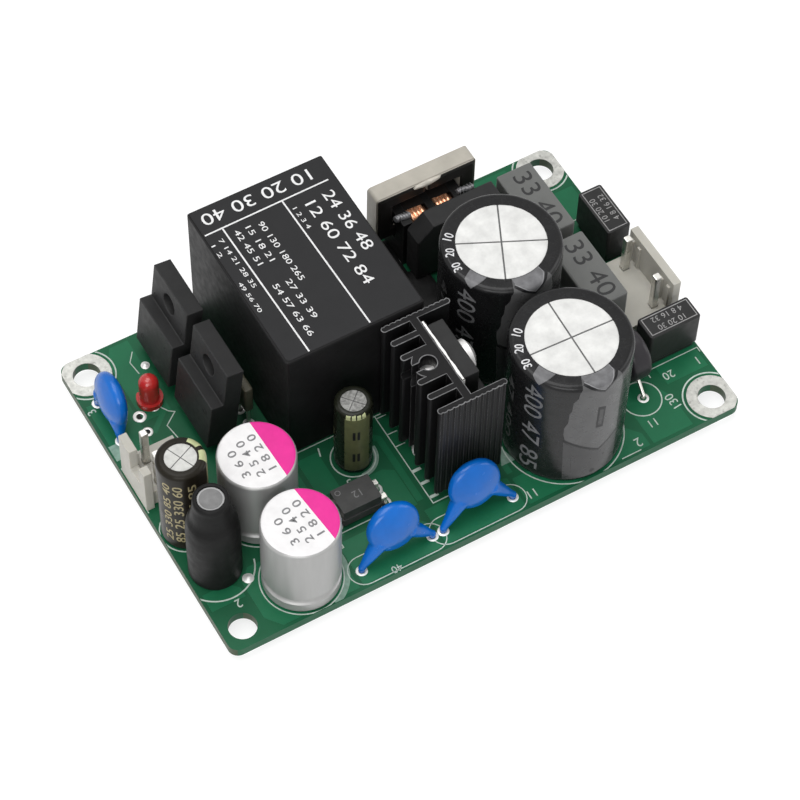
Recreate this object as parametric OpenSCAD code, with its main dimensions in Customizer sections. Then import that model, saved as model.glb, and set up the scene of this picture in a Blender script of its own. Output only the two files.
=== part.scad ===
// Power supply module: a circuit board with its parts on it.
// Millimetres, Z up, X along the board. The origin is the centre of the four mounting holes,
// on the underside of the board. The parts stand in six columns along X, each set from its neighbour.

/* [Board] */
// thickness of the board
board_t = 1.6; // [1:0.1:2.4]
// rounding of the board's corners
board_corner = 1.6; // [0.5:0.1:3]
// mounting hole centre to both board edges
hole_inset = 3.25; // [3:0.05:5]
// diameter of the mounting holes
hole_d = 4.2; // [3:0.1:5]
// width of the tinned land around a mounting hole
land_w = 1.65; // [0.8:0.05:2.2]
// thickness of the tinned lands
land_t = 0.12; // [0.05:0.01:0.3]
// outermost parts to the board's edge
edge_gap = 0.2; // [0.1:0.05:2]
// height of a solder joint under the board
joint_h = 1.8; // [1.2:0.1:3]
// width of solder around a lead
joint_wall = 0.55; // [0.3:0.05:1]
// room around a lead in its board hole
hole_fit = 0.2; // [0.1:0.05:0.4]

/* [Spaces between parts] */
// output column to the polymer capacitors
space_ab = 0.25; // [0.2:0.05:3]
// polymer capacitors or rectifiers to the transformer
space_bc = 2.6; // [2.4:0.1:6]
// heat sink and transistor to the large capacitors
space_cd = 2.1; // [0.5:0.1:5]
// large capacitors to the film capacitors
space_de = 1.1; // [0.5:0.1:4]
// film capacitors to the inlet column
space_ef = 0.3; // [0.2:0.1:3]
// transformer to the heat sink
space_sink = 0.4; // [0.3:0.1:3]
// heat sink to the safety capacitors
space_safety = 0.7; // [0.4:0.05:5]
// between the two large capacitors
space_bulk = 1.1; // [0.3:0.1:3]
// between neighbours in the output, film and inlet columns
space_row = 1.7; // [0.5:0.1:2.5]

/* [Transformer] */
// diameter of the core's round middle post
post_d = 8.4; // [6:0.2:11]
// thickness of the core's backs
core_back = 3.4; // [2.5:0.1:5]
// thickness of the core's outer legs
core_leg = 3.7; // [2.5:0.1:5]
// height of the winding window
window_h = 15.4; // [10:0.2:20]
// wall of the bobbin
bobbin_wall = 0.8; // [0.5:0.1:1.2]
// radial thickness of the primary winding
primary_t = 2.3; // [1:0.1:4]
// radial thickness of the secondary winding
secondary_t = 1.95; // [1:0.05:4]
// lip of the bobbin's flanges past the windings
flange_lip = 0.55; // [0.2:0.05:1]
// core to the board
core_stand = 0.3; // [0.2:0.1:1]
// wall of the cover
cover_wall = 0.8; // [0.5:0.1:1.5]
// spacing of the pins along a rail
pin_pitch = 5; // [3.5:0.1:5.5]
// diameter of the pins
pin_d = 0.8; // [0.6:0.05:1.1]
// depth of a pin in its rail
pin_seat = 2.4; // [1.5:0.1:3]
// fit between stacked pieces
fit = 0.2; // [0.1:0.05:0.4]

/* [Choke] */
// height of the core's legs
choke_leg = 2.8; // [2:0.1:4]
// depth of the core
choke_depth = 3; // [2:0.1:5]
// height of the core's window
choke_window = 4.4; // [3.8:0.1:7]
// width of one winding
choke_section = 3.3; // [2:0.1:5]
// thickness of the bobbin's end plates
choke_end = 1.6; // [1.2:0.1:2.5]
// thickness of the plate between the windings
choke_mid = 1.2; // [0.6:0.1:2]
// thickness of a winding
choke_build = 1.8; // [1:0.1:2.2]
// windings to the board
choke_lift = 1.6; // [0.5:0.05:3]
// wall of the bobbin's tube
choke_wall = 0.6; // [0.4:0.1:1]
// plates past the windings
choke_lip = 0.1; // [0.1:0.1:1]
// transformer to the choke
choke_space = 6.3; // [1:0.1:8]

/* [Large capacitors] */
// diameter of the can
bulk_d = 17.3; // [14:0.1:20]
// height of the can
bulk_h = 23.5; // [16:0.5:32]
// width of the sleeve's rim on the can's top
bulk_rim = 2; // [1:0.1:4]
// distance between the two leads
bulk_pitch = 7.5; // [5:0.5:8]
// lead diameter
bulk_lead = 0.9; // [0.6:0.05:1.2]

/* [Polymer capacitors] */
// diameter of the can
polymer_d = 11.4; // [8:0.1:13]
// height of the can
polymer_h = 14.8; // [8:0.2:18]
// distance between the two leads
polymer_pitch = 5; // [3:0.5:5.5]
// space between the two
polymer_space = 1.2; // [0.5:0.1:3]
// depth of the groove near the base
bead_depth = 0.45; // [0.2:0.05:0.8]

/* [Small capacitors] */
// diameter of the output filter's can
output_d = 6.6; // [5:0.1:8]
// height of the output filter's can
output_h = 18.5; // [8:0.5:24]
// distance between its leads
output_pitch = 3.2; // [2:0.1:3.4]
// diameter of the supply filter's can
supply_d = 5; // [4:0.1:6.5]
// height of the supply filter's can
supply_h = 14.5; // [7:0.5:20]
// distance between its leads
supply_pitch = 2; // [1.5:0.1:2.2]
// heat sink to the supply filter
supply_space = 4; // [0.5:0.1:5]
// transformer to the supply filter
supply_row = 2.1; // [0.5:0.1:3]
// width of the sleeve's rim on the output filter's top
output_rim = 1; // [0.5:0.1:1.5]
// width of the sleeve's rim on the supply filter's top
supply_rim = 0.6; // [0.4:0.1:1.2]

/* [Every capacitor can] */
// thickness of the sleeves
sleeve_t = 0.25; // [0.15:0.05:0.5]
// rounding of a can's top edge
can_round = 0.6; // [0.3:0.05:0.9]
// height of the rubber bung
bung_h = 2.4; // [1.5:0.1:3.5]
// wall of a can around its bung
can_wall = 0.5; // [0.3:0.05:0.8]
// can to the board
can_stand = 0.3; // [0.2:0.05:1]
// diameter of the thin leads
wire_d = 0.6; // [0.4:0.05:0.8]

/* [Inductor] */
// diameter of the winding
coil_d = 7; // [5:0.1:9]
// diameter of the core's top end
drum_top_d = 4.5; // [4.2:0.1:6.2]
// diameter of the core's post
drum_post_d = 3.8; // [2.5:0.1:4.2]
// board's edge to the inductor
inductor_in = 0.5; // [0.2:0.1:2]
// mounting hole to the inductor
inductor_space = 4.25; // [1:0.05:6]
// height of the core
drum_h = 18.4; // [12:0.2:22]
// height of the core's top end, above the winding
drum_top_h = 7; // [3:0.1:8]
// thickness of the core's lower end
drum_base_h = 1.4; // [0.8:0.1:2.5]
// wall of the shrink sleeve
shrink_t = 0.35; // [0.2:0.05:0.6]
// height of the sleeve's slope above the winding
shrink_slope = 5.9; // [0.8:0.1:6.5]
// diameter of the opening in the sleeve's top
shrink_open = 3.9; // [2:0.1:4]

/* [Safety capacitors] */
// diameter of the coated disc
disc_d = 8.3; // [6:0.1:9.5]
// thickness of the disc
disc_t = 3.4; // [2.6:0.1:4.5]
// rounding of the disc's rim
disc_rim = 1; // [0.6:0.05:1.2]
// distance between the feet of the front pair
disc_pitch = 11.6; // [10:0.2:13]
// distance between the feet of the single one
side_pitch = 7.5; // [6.5:0.1:8.5]
// height of the disc's centre above the feet's bend
disc_lift = 5; // [4.5:0.1:6.5]
// the same of the second one of the front pair
disc_lift_2 = 5.6; // [4.5:0.1:6.5]
// backward lean of the front pair, degrees
disc_lean = 16; // [0:1:25]
// lean of the single one, degrees
side_lean = 8; // [0:1:15]
// diameter of the coating on a leg
leg_d = 1; // [1:0.1:1.8]
// diameter of the coating where a leg leaves the disc
leg_root_d = 2.8; // [1.8:0.1:3.2]
// height of a foot's upright end
foot_h = 0.8; // [0.4:0.1:1.5]
// feet of the front pair to the board's edge
disc_edge = 2.8; // [2:0.1:5]
// polymer capacitors to the feet of the front pair
safety_space = 2.2; // [1:0.1:4]
// tinned land to the single one's foot
side_space = 1; // [0.4:0.1:3]
// feet of the single one to the board's edge
side_edge = 2.4; // [2.3:0.1:4]
// space between the feet of the front pair
disc_space = 1.8; // [1.5:0.1:4]

/* [Film capacitors and snubber] */
// length of a film capacitor
film_l = 13; // [10:0.1:16]
// width of a film capacitor
film_w = 6; // [4:0.1:8]
// height of a film capacitor
film_h = 12; // [8:0.1:15]
// distance between its leads
film_pitch = 10; // [7:0.5:10]
// length of the snubber capacitor
snub_l = 4; // [4:0.1:9]
// thickness of the snubber capacitor
snub_t = 1.4; // [1.2:0.1:2.8]
// height of the snubber capacitor
snub_h = 5.4; // [4.5:0.1:11]
// snubber capacitor past the rectifier before it
snub_past = -1.6; // [-2:0.1:2]
// snubber capacitor to the board
snub_stand = 4; // [0.5:0.1:5]
// rounding of the boxes' upright edges
box_round = 0.4; // [0.2:0.05:0.7]

/* [Fuses] */
// length of a fuse
fuse_l = 8.7; // [7:0.1:11]
// width of a fuse
fuse_w = 4; // [3.4:0.1:6]
// height of a fuse
fuse_h = 7.8; // [5:0.1:11]
// distance between the leads
fuse_pitch = 5.08; // [4:0.02:5.6]
// height of the fuse's narrower foot
fuse_foot = 1.2; // [0.6:0.1:2.5]
// tinned land to the nearer fuse
fuse_space = 5.1; // [0.5:0.1:8]
// inset of the foot
fuse_inset = 0.3; // [0.1:0.05:0.6]

/* [Thermistor] */
// diameter of the disc
ntc_d = 8; // [6.5:0.1:10]
// thickness of the disc
ntc_t = 3.4; // [2.2:0.1:4]
// disc to the board
ntc_stand = 1.6; // [0.8:0.1:3]
// distance between the leads
ntc_pitch = 5; // [4:0.1:6]
// board's edge to the nearer lead
ntc_edge = 8; // [4:0.1:9]
// nearer lead to the disc's middle
ntc_back = 4.6; // [4.2:0.1:6]
// disc off the film capacitors' line
ntc_shift = 0; // [0:0.1:1.5]
// height of the bend in the nearer lead
ntc_bend = 0.7; // [0.4:0.1:1.2]
// disc to the film capacitors
film_space = 1.9; // [1:0.1:6]

/* [Headers] */
// depth of a header
header_depth = 8.4; // [7:0.1:10]
// height of a header's floor
header_floor = 3.2; // [2:0.1:5]
// height of the back wall
header_h = 9.3; // [7:0.1:12]
// thickness of the back wall
header_wall = 1.3; // [0.8:0.1:1.8]
// distance of one pin place to the next
header_pitch = 3.96; // [3.5:0.01:5.08]
// outer pin to the end of the header
header_end = 1.97; // [1.4:0.01:3]
// back of the header to its pins
pin_back = 3.1; // [2.8:0.1:4]
// side of a square pin
post_w = 1.1; // [0.8:0.05:1.3]
// top of the pins above the board
post_h = 10.5; // [8:0.1:14]
// depth of the grip ribs on the back wall
rib_t = 0.35; // [0.2:0.05:0.6]
// width of a grip rib
rib_w = 0.7; // [0.4:0.1:1]
// width of the key slot at each end
key_w = 0.8; // [0.4:0.1:1.2]
// depth of the key slots
key_depth = 0.6; // [0.3:0.1:0.8]
// width of the notch in the output header's wall
notch_w = 3; // [1:0.1:3.2]
// board to the floor of that notch
notch_floor = 5.2; // [4:0.1:8]
// notch off the header's middle
notch_off = 0.9; // [0.6:0.1:1.2]

/* [Indicator light] */
// diameter of the lens
led_d = 3; // [2.5:0.1:5]
// width of the flange past the lens
led_lip = 0.5; // [0.2:0.05:0.6]
// height of the flange
led_flange_h = 1; // [0.6:0.1:1.5]
// height of the lens to its top
led_h = 6; // [4.5:0.1:8]
// distance between its leads
led_pitch = 2.54; // [2:0.02:2.6]
// rectifiers to the light
led_space = 0.5; // [0.3:0.1:2]
// light's place along the rectifiers
led_row = 4.4; // [2:0.1:6]

/* [Rectifier and transistor packages] */
// width of a package
pack_w = 10.3; // [9:0.1:12]
// height of a package
pack_h = 16; // [13:0.1:18]
// thickness of the lower half
pack_t = 4.6; // [4:0.1:5.5]
// thickness of the upper half
tab_t = 2.7; // [2:0.1:3.2]
// height of the upper half
tab_h = 6.7; // [6:0.1:8]
// diameter of the screw hole
tab_hole = 3.3; // [3.2:0.05:3.8]
// top of the package to the screw hole's centre
tab_hole_z = 3.3; // [2.8:0.1:3.8]
// back of the package to its leads
pack_back = 2.2; // [1.8:0.1:2.6]
// distance from lead to lead
lead_pitch = 2.54; // [2.4:0.02:3]
// width of a lead
lead_w = 0.8; // [0.6:0.05:1]
// thickness of a lead
lead_t = 0.5; // [0.4:0.05:0.7]
// rectifiers to the board, along their leads
rect_stand = 2; // [1:0.1:4]
// lean of the rectifiers towards the transformer, degrees
rect_lean = 7; // [0:1:10]
// space between the rectifiers
rect_space = 1.8; // [0.8:0.1:4]
// far edge of the board to the rectifiers
rect_edge = 2.2; // [0.5:0.1:4]

/* [Heat sink] */
// width of the heat sink
sink_w = 16.6; // [14:0.1:22]
// height of the heat sink
sink_h = 21; // [18:0.1:32]
// heat sink to the board, on its solder pin
sink_stand = 1.4; // [0:0.1:3]
// thickness of the fins
fin_t = 0.9; // [0.8:0.05:1.5]
// length of the fins on the transformer's side
fin_back = 4.3; // [4:0.1:8]
// length of the end fins on the transistor's side
fin_front = 5.5; // [2:0.1:7]
// thickness of the web
web_t = 1.2; // [1.2:0.05:2.5]
// spacing of the grooves on the ends
groove_pitch = 0.9; // [0.7:0.05:1.5]
// width of a groove
groove_w = 0.5; // [0.3:0.05:0.6]
// transformer's side past which the heat sink reaches
sink_reach = 3.5; // [0:0.1:6]
// diameter of the channel for the solder pin
channel_d = 2.6; // [2:0.1:3]
// wall around the channel
channel_wall = 1.05; // [0.8:0.05:1.3]
// height of the solder pin above the board, most of it in the channel
sink_pin_l = 6; // [3:0.5:10]
// thickness of the thermal pad
pad_t = 0.6; // [0.2:0.05:1.2]
// thermal pad past the transistor at its sides and foot
pad_lip = 0.6; // [0.2:0.1:1]
// thermal pad above the transistor
pad_rise = 0.6; // [0.2:0.1:2.5]
// transistor to the board
transistor_stand = 5.8; // [4:0.1:8]
// transistor off the middle of the heat sink
transistor_shift = 0.8; // [0:0.1:1]
// diameter of the screw's thread
screw_d = 2.9; // [2.5:0.1:3]
// diameter of the screw's head
screw_head_d = 4.8; // [4.5:0.1:6]
// height of the screw's head
screw_head_h = 2.1; // [1.5:0.1:3]

/* [Bridge rectifier] */
// length of the package
bridge_l = 14.5; // [11:0.1:17]
// thickness of the package
bridge_t = 3.4; // [2.5:0.1:5]
// height of the package
bridge_h = 11.6; // [8:0.1:14]
// package to the board
bridge_stand = 0.8; // [0.8:0.1:3]
// distance from lead to lead
bridge_pitch = 3.8; // [2.6:0.1:4]
// cut corner that marks the positive end
bridge_cut = 2.6; // [1:0.1:3]
// choke to the bridge rectifier
bridge_space = 0.6; // [0.3:0.1:2]
// bridge rectifier off the large capacitors' line
bridge_shift = 2.2; // [0:0.1:4]

/* [Optocoupler and controller] */
// length of the optocoupler, across its leads
opto_l = 6.5; // [5.5:0.1:8]
// width of the optocoupler
opto_w = 4.6; // [4:0.1:5.5]
// height of the optocoupler
opto_h = 3.5; // [2.5:0.1:4.5]
// optocoupler to the board
opto_stand = 0.4; // [0.2:0.1:1]
// reach of its leads past the package
opto_reach = 0.75; // [0.5:0.05:1.2]
// distance from lead to lead
opto_pitch = 2.54; // [2:0.02:3]
// safety capacitors to the optocoupler
opto_row = 2.9; // [1:0.1:3.5]
// length of the controller chip
chip_l = 4.9; // [4:0.1:8]
// width of the controller chip
chip_w = 3.9; // [3:0.1:4.5]
// height of the controller chip
chip_h = 1.35; // [0.9:0.05:1.5]
// reach of the chip's leads
chip_reach = 1; // [0.6:0.1:1.2]
// distance from chip lead to chip lead
chip_pitch = 1.27; // [0.9:0.01:1.3]

/* [Hidden] */
$fn = 48;

over = 1;
joint_tip = 0.5;
joint_cap = 0.3;
lead_fit = 0.04;
seam = 0.05;
top = board_t;
lead_end = joint_h - joint_cap;

// transformer, from its post outwards
bore_r = post_d / 2 + fit;
tube_r = bore_r + bobbin_wall;
primary_in = tube_r + lead_fit;
primary_r = primary_in + primary_t;
secondary_in = primary_r + lead_fit;
secondary_r = secondary_in + secondary_t;
flange_r = secondary_r + flange_lip;
core_w = 2 * (flange_r + fit + core_leg);
cover_l = 2 * (flange_r + fit + cover_wall);
cover_d = core_w + 2 * (fit + cover_wall);
core_h = 2 * core_back + window_h;
cover_h = core_stand + core_h + fit + cover_wall;
rail_in = post_d / 2 + fit;
rail_x = (rail_in + flange_r) / 2;
flange_z = core_stand + core_back + fit;
bobbin_h = window_h - 2 * fit;

// choke
choke_inner = 2 * choke_end + 2 * choke_section + choke_mid;
choke_l = choke_inner + 2 * fit + 2 * choke_leg;
choke_tube = choke_wall + fit;
coil_half_z = choke_leg / 2 + choke_tube + choke_build;
coil_half_y = choke_depth / 2 + choke_tube + choke_build;
plate_half_y = coil_half_y + choke_lip;
choke_axis = choke_lift + coil_half_z;
choke_foot = 2 * (coil_half_y - joint_wall) - pin_d;
choke_ring = 2 * choke_leg + choke_window;
plate_top = coil_half_z + choke_lip;

// outer radii of the upright cans and the inductor
bulk_r = bulk_d / 2 + sleeve_t + lead_fit;
polymer_r = polymer_d / 2;
output_r = output_d / 2 + sleeve_t + lead_fit;
supply_r = supply_d / 2 + sleeve_t + lead_fit;
inductor_r = coil_d / 2 + lead_fit + shrink_t;

// headers
inlet_l = 2 * header_pitch + 2 * header_end;
outlet_l = header_pitch + 2 * header_end;

// heat sink and what is screwed to it
sink_l = fin_back + web_t + fin_front;
package_front = web_t + pad_t + max(pack_t, tab_t + screw_head_h);
sink_front = max(web_t + fin_front, package_front);

// safety capacitors: how far a leaning disc reaches behind its feet
disc_reach = (max(disc_lift, disc_lift_2) + disc_d / 2) * sin(disc_lean) + disc_t / 2 * cos(disc_lean);

// columns along X, from the board's left edge
column_a = max(edge_gap + 2 * output_r, inductor_in + 2 * inductor_r);
header_end_x = edge_gap + header_depth;
rect_back = pack_back + (rect_stand + pack_h) * sin(rect_lean);
rect_front = pack_t - pack_back;
column_b = space_ab + max(column_a + polymer_r, header_end_x + rect_front);
column_b_end = column_b + max(polymer_r, rect_back);
column_c = column_b_end + space_bc;
cover_right = column_c + cover_l;
sink_right = cover_right + sink_reach;
web_x = sink_right - fin_front - web_t;
safety_1 = column_b_end + safety_space + disc_pitch / 2;
safety_2 = safety_1 + disc_pitch + disc_space;
column_d = max(web_x + sink_front + space_cd, safety_2 + disc_pitch / 2 + leg_d / 2 + fit);
bulk_x = column_d + bulk_r;
choke_x = max(cover_right + choke_space, column_d) + choke_l / 2;
bridge_x = bulk_x + bridge_shift;
column_d_end = max(bulk_x + bulk_r, bridge_x + bridge_l / 2, choke_x + choke_l / 2);
column_e = column_d_end + space_de + max(film_w, ntc_t) / 2;
column_f = column_e + max(film_w, ntc_t) / 2 + space_ef;
board_l = column_f + max(header_depth, fuse_l) + edge_gap;

// rows along Y, from the board's near edge
safety_row = disc_edge;
sink_near = safety_row + disc_reach + space_safety;
cover_near = sink_near + sink_w + space_sink;
inductor_row = hole_inset + hole_d / 2 + inductor_space + inductor_r;
output_row = inductor_row + inductor_r + edge_gap + output_r;
outlet_row = output_row + output_r + space_row + outlet_l / 2;
bulk_row_2 = edge_gap + bulk_r;
bulk_row_1 = bulk_row_2 + 2 * bulk_r + space_bulk;
polymer_row_2 = edge_gap + fit + polymer_r;
polymer_row_1 = polymer_row_2 + 2 * polymer_r + polymer_space;
thermistor_row = ntc_edge + ntc_back;
film_row_2 = thermistor_row + max(ntc_d / 2, ntc_pitch - ntc_back) + film_space + film_l / 2;
film_row_1 = film_row_2 + film_l + space_row;
land_r = hole_d / 2 + land_w;
land_end = hole_inset + land_r;
fuse_row_2 = land_end + fuse_space + fuse_w / 2;
inlet_row = fuse_row_2 + fuse_w / 2 + space_row + inlet_l / 2;
fuse_row_1 = inlet_row + inlet_l / 2 + space_row + fuse_l / 2;
rect_rows = 2 * pack_w + rect_space + rect_edge;
choke_rows = 2 * plate_half_y + bridge_space + bridge_t + edge_gap;
side_reach = max(side_pitch / 2 + leg_d / 2, disc_d / 2) + side_space;
board_w = max(
    cover_near + cover_d + edge_gap,
    polymer_row_1 + polymer_r + space_row + rect_rows,
    bulk_row_1 + bulk_r + space_row + choke_rows,
    film_row_1 + film_l / 2 + space_row,
    fuse_row_1 + fuse_l / 2 + space_row + land_end,
    outlet_row + outlet_l / 2 + 2 * side_reach + land_end
);
rect_row_1 = board_w - rect_edge - pack_w / 2;
rect_row_2 = rect_row_1 - pack_w - rect_space;
choke_row = board_w - edge_gap - plate_half_y;
bridge_row = choke_row - plate_half_y - bridge_space - bridge_t / 2;
side_row = board_w - land_end - side_reach;

// from the board's corner to the middle of the holes
function at(u, v) = [u - board_l / 2, v - board_w / 2];
function row_x(p, pitch, n) = [for (i = [0 : n - 1]) [p[0] + (i - (n - 1) / 2) * pitch, p[1]]];
function row_y(p, pitch, n) = [for (i = [0 : n - 1]) [p[0], p[1] + (i - (n - 1) / 2) * pitch]];
function sized(points, r) = [for (p = points) [p[0], p[1], r]];

holes = [for (x = [-1, 1], y = [-1, 1]) [x * (board_l / 2 - hole_inset), y * (board_w / 2 - hole_inset)]];
cover_at = at(column_c + cover_l / 2, cover_near + cover_d / 2);
choke_at = at(choke_x, choke_row);
bulk_at = [at(bulk_x, bulk_row_1), at(bulk_x, bulk_row_2)];
polymer_at = [at(column_b, polymer_row_1), at(column_b, polymer_row_2)];
output_at = at(edge_gap + output_r, output_row);
supply_at = at(web_x - fin_back - supply_space - supply_r, cover_near - supply_row - supply_r);
inductor_at = at(inductor_in + inductor_r, inductor_row);
safety_at = [at(safety_1, safety_row), at(safety_2, safety_row)];
side_at = at(side_edge, side_row);
film_at = [at(column_e, film_row_1), at(column_e, film_row_2)];
snub_left = column_b + pack_back + (snub_stand + snub_h) * tan(rect_lean);
snub_at = at((snub_left + column_c) / 2, rect_row_2 - pack_w / 2 - snub_past + snub_l / 2);
fuse_at = [
    at(board_l - edge_gap - fuse_w / 2, fuse_row_1),
    at(board_l - edge_gap - fuse_l / 2, fuse_row_2)
];
thermistor_at = at(column_e - ntc_shift, thermistor_row);
inlet_at = at(board_l - edge_gap - pin_back, inlet_row);
outlet_at = at(edge_gap + pin_back, outlet_row);
led_at = at(column_b - rect_front - led_space - led_d / 2 - led_lip, rect_row_1 - led_row);
rect_at = [at(column_b, rect_row_1), at(column_b, rect_row_2)];
web_at = at(web_x, sink_near + sink_w / 2);
transistor_at = [web_at[0] + web_t + pad_t, web_at[1] + transistor_shift];
bridge_at = at(bridge_x, bridge_row);
opto_at = at(
    column_c + opto_reach + opto_l / 2,
    safety_row + disc_reach + opto_row + opto_w / 2
);
channel_at = [web_at[0] - channel_d / 2, web_at[1]];
screw_z = top + transistor_stand + pack_h - tab_hole_z;

// every lead that goes through the board: place and radius
flat_r = sqrt(lead_w * lead_w + lead_t * lead_t) / 2;
post_r = post_w / sqrt(2);
bulk_leads = [for (p = bulk_at) each row_x(p, bulk_pitch, 2)];
polymer_leads = [for (p = polymer_at) each row_x(p, polymer_pitch, 2)];
output_leads = row_y(output_at, output_pitch, 2);
supply_leads = row_x(supply_at, supply_pitch, 2);
inductor_wires = row_x(inductor_at, drum_post_d, 2);
safety_leads = concat(
    [for (p = safety_at) each row_x(p, disc_pitch, 2)],
    row_y(side_at, side_pitch, 2)
);
film_leads = [for (p = film_at) each row_y(p, film_pitch, 2)];
snub_leads = row_y(snub_at, snub_l - 2 * wire_d, 2);
fuse_leads = concat(row_y(fuse_at[0], fuse_pitch, 2), row_x(fuse_at[1], fuse_pitch, 2));
thermistor_leads = row_y([thermistor_at[0], thermistor_at[1] - ntc_back + ntc_pitch / 2], ntc_pitch, 2);
led_leads = row_y(led_at, led_pitch, 2);
inlet_posts = row_y(inlet_at, 2 * header_pitch, 2);
outlet_posts = row_y(outlet_at, header_pitch, 2);
rect_leads = [for (p = rect_at) each row_y(p, lead_pitch, 3)];
transistor_leads = row_y([transistor_at[0] + pack_back, transistor_at[1]], lead_pitch, 3);
bridge_leads = row_x(bridge_at, bridge_pitch, 4);
opto_leads = [
    for (s = [-1, 1]) each row_y([opto_at[0] + s * (opto_l / 2 + opto_reach), opto_at[1]], opto_pitch, 2)
];
cover_pins = [for (s = [-1, 1]) each row_y([cover_at[0] + s * rail_x, cover_at[1]], pin_pitch, 4)];
choke_feet = [
    for (s = [-1, 1]) each
        row_y([choke_at[0] + s * (choke_inner - choke_end) / 2, choke_at[1]], choke_foot, 2)
];
thin_wires = concat(
    safety_leads, film_leads, snub_leads, fuse_leads, thermistor_leads, led_leads
);
flat_leads = concat(rect_leads, transistor_leads, bridge_leads, opto_leads);
all_leads = concat(
    sized(bulk_leads, bulk_lead / 2),
    sized(concat(polymer_leads, output_leads, supply_leads, inductor_wires, thin_wires), wire_d / 2),
    sized(concat(inlet_posts, outlet_posts), post_r),
    sized(flat_leads, flat_r),
    sized(concat(cover_pins, choke_feet), pin_d / 2),
    [[channel_at[0], channel_at[1], channel_d / 2 - lead_fit]]
);

// shared shapes
module on(p, z = 0) {
    translate([p[0], p[1], z]) children();
}

module rounded_box(l, w, h, r) {
    linear_extrude(height = h) {
        square([l - 2 * r, w], center = true);
        square([l, w - 2 * r], center = true);
        for (x = [-1, 1], y = [-1, 1]) translate([x * (l / 2 - r), y * (w / 2 - r)]) circle(r = r);
    }
}

module ring(r_out, r_in, h) {
    difference() {
        cylinder(r = r_out, h = h);
        translate([0, 0, -over]) cylinder(r = r_in, h = h + 2 * over);
    }
}

module can_form(r, h, round_r) {
    rotate_extrude() {
        square([r - round_r, h]);
        square([r, h - round_r]);
        translate([r - round_r, h - round_r]) circle(r = round_r);
    }
}

module can(d, h) {
    bung_r = d / 2 - can_wall;
    difference() {
        translate([0, 0, top + can_stand]) can_form(d / 2, h, can_round);
        cylinder(r = bung_r + lead_fit, h = top + bung_h + lead_fit);
    }
}

module sleeve(d, h, rim) {
    grown = d / 2 + lead_fit;
    difference() {
        translate([0, 0, top + can_stand])
            can_form(grown + sleeve_t, h + lead_fit + sleeve_t, can_round + sleeve_t);
        translate([0, 0, top]) can_form(grown, can_stand + h + lead_fit, can_round);
        cylinder(r = d / 2 - rim, h = top + can_stand + h + 2 * over);
    }
}

module bung(p, d, leads, lead_d) {
    difference() {
        on(p, top) cylinder(r = d / 2 - can_wall, h = bung_h);
        for (q = leads) on(q, 0) cylinder(d = lead_d + 2 * lead_fit, h = top + bung_h + over);
    }
}

module wire(p, d, z) {
    on(p, -lead_end) cylinder(d = d, h = z + lead_end);
}

module flat_lead(p, z) {
    on(p, -lead_end) translate([-lead_t / 2, -lead_w / 2, 0]) cube([lead_t, lead_w, z + lead_end]);
}

// package with a thin drilled upper half, its back at x = 0 and its front at +x
module package() {
    difference() {
        union() {
            translate([0, -pack_w / 2, 0]) cube([tab_t, pack_w, pack_h]);
            translate([0, -pack_w / 2, 0]) cube([pack_t, pack_w, pack_h - tab_h]);
        }
        translate([-over, 0, pack_h - tab_hole_z])
            rotate([0, 90, 0]) cylinder(d = tab_hole, h = tab_t + 2 * over);
    }
}

// board and solder
module board_outline(h) {
    rounded_box(board_l, board_w, h, board_corner);
}

module circuit_board() {
    color("#1d7a4c") difference() {
        board_outline(board_t);
        for (p = holes) on(p, -over) cylinder(d = hole_d, h = board_t + 2 * over);
        for (p = all_leads) on(p, -over) cylinder(r = p[2] + hole_fit, h = board_t + 2 * over);
    }
}

module mounting_lands() {
    color("#d8d8d2") for (i = [1 : 3]) intersection() {
        on(holes[i], top) ring(land_r, hole_d / 2, land_t);
        translate([0, 0, top]) board_outline(land_t);
    }
}

module solder_joints() {
    color("#b9bcbd") for (p = all_leads) difference() {
        on(p, -joint_h) cylinder(r1 = min(joint_tip, p[2]), r2 = p[2] + joint_wall, h = joint_h);
        on(p, -lead_end - lead_fit) cylinder(r = p[2] + lead_fit, h = joint_h);
    }
}

// transformer
module transformer_cover() {
    color("#1c1c1e") on(cover_at, top) difference() {
        translate([-cover_l / 2, -cover_d / 2, 0]) cube([cover_l, cover_d, cover_h]);
        translate([cover_wall - cover_l / 2, cover_wall - cover_d / 2, -over])
            cube([cover_l - 2 * cover_wall, cover_d - 2 * cover_wall, cover_h - cover_wall + over]);
    }
}

// one half of the core, back at the bottom
module core_half() {
    half = core_h / 2 - seam / 2;
    translate([-post_d / 2, -core_w / 2, 0]) cube([post_d, core_w, core_back]);
    cylinder(d = post_d, h = half);
    for (s = [0, 1]) mirror([0, s, 0])
        translate([-post_d / 2, core_w / 2 - core_leg, 0]) cube([post_d, core_leg, half]);
}

module transformer_core_lower() {
    color("#3a3a3c") on(cover_at, top + core_stand) core_half();
}

module transformer_core_upper() {
    color("#3a3a3c") on(cover_at, top + core_stand + core_h) mirror([0, 0, 1]) core_half();
}

module transformer_bobbin() {
    color("#262628") on(cover_at, top) difference() {
        union() {
            translate([0, 0, flange_z]) cylinder(r = tube_r, h = bobbin_h);
            translate([0, 0, flange_z]) cylinder(r = flange_r, h = bobbin_wall);
            translate([0, 0, flange_z + bobbin_h - bobbin_wall]) cylinder(r = flange_r, h = bobbin_wall);
            for (s = [0, 1]) mirror([s, 0, 0]) translate([rail_in, -flange_r, 0])
                cube([flange_r - rail_in, 2 * flange_r, flange_z + bobbin_wall]);
        }
        translate([0, 0, flange_z - over]) cylinder(r = bore_r, h = bobbin_h + 2 * over);
        for (p = cover_pins) translate([p[0] - cover_at[0], p[1] - cover_at[1], -over])
            cylinder(d = pin_d + 2 * lead_fit, h = pin_seat + over);
    }
}

module winding(r_in, r_out) {
    on(cover_at, top + flange_z + bobbin_wall + lead_fit)
        ring(r_out, r_in, bobbin_h - 2 * bobbin_wall - 2 * lead_fit);
}

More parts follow.
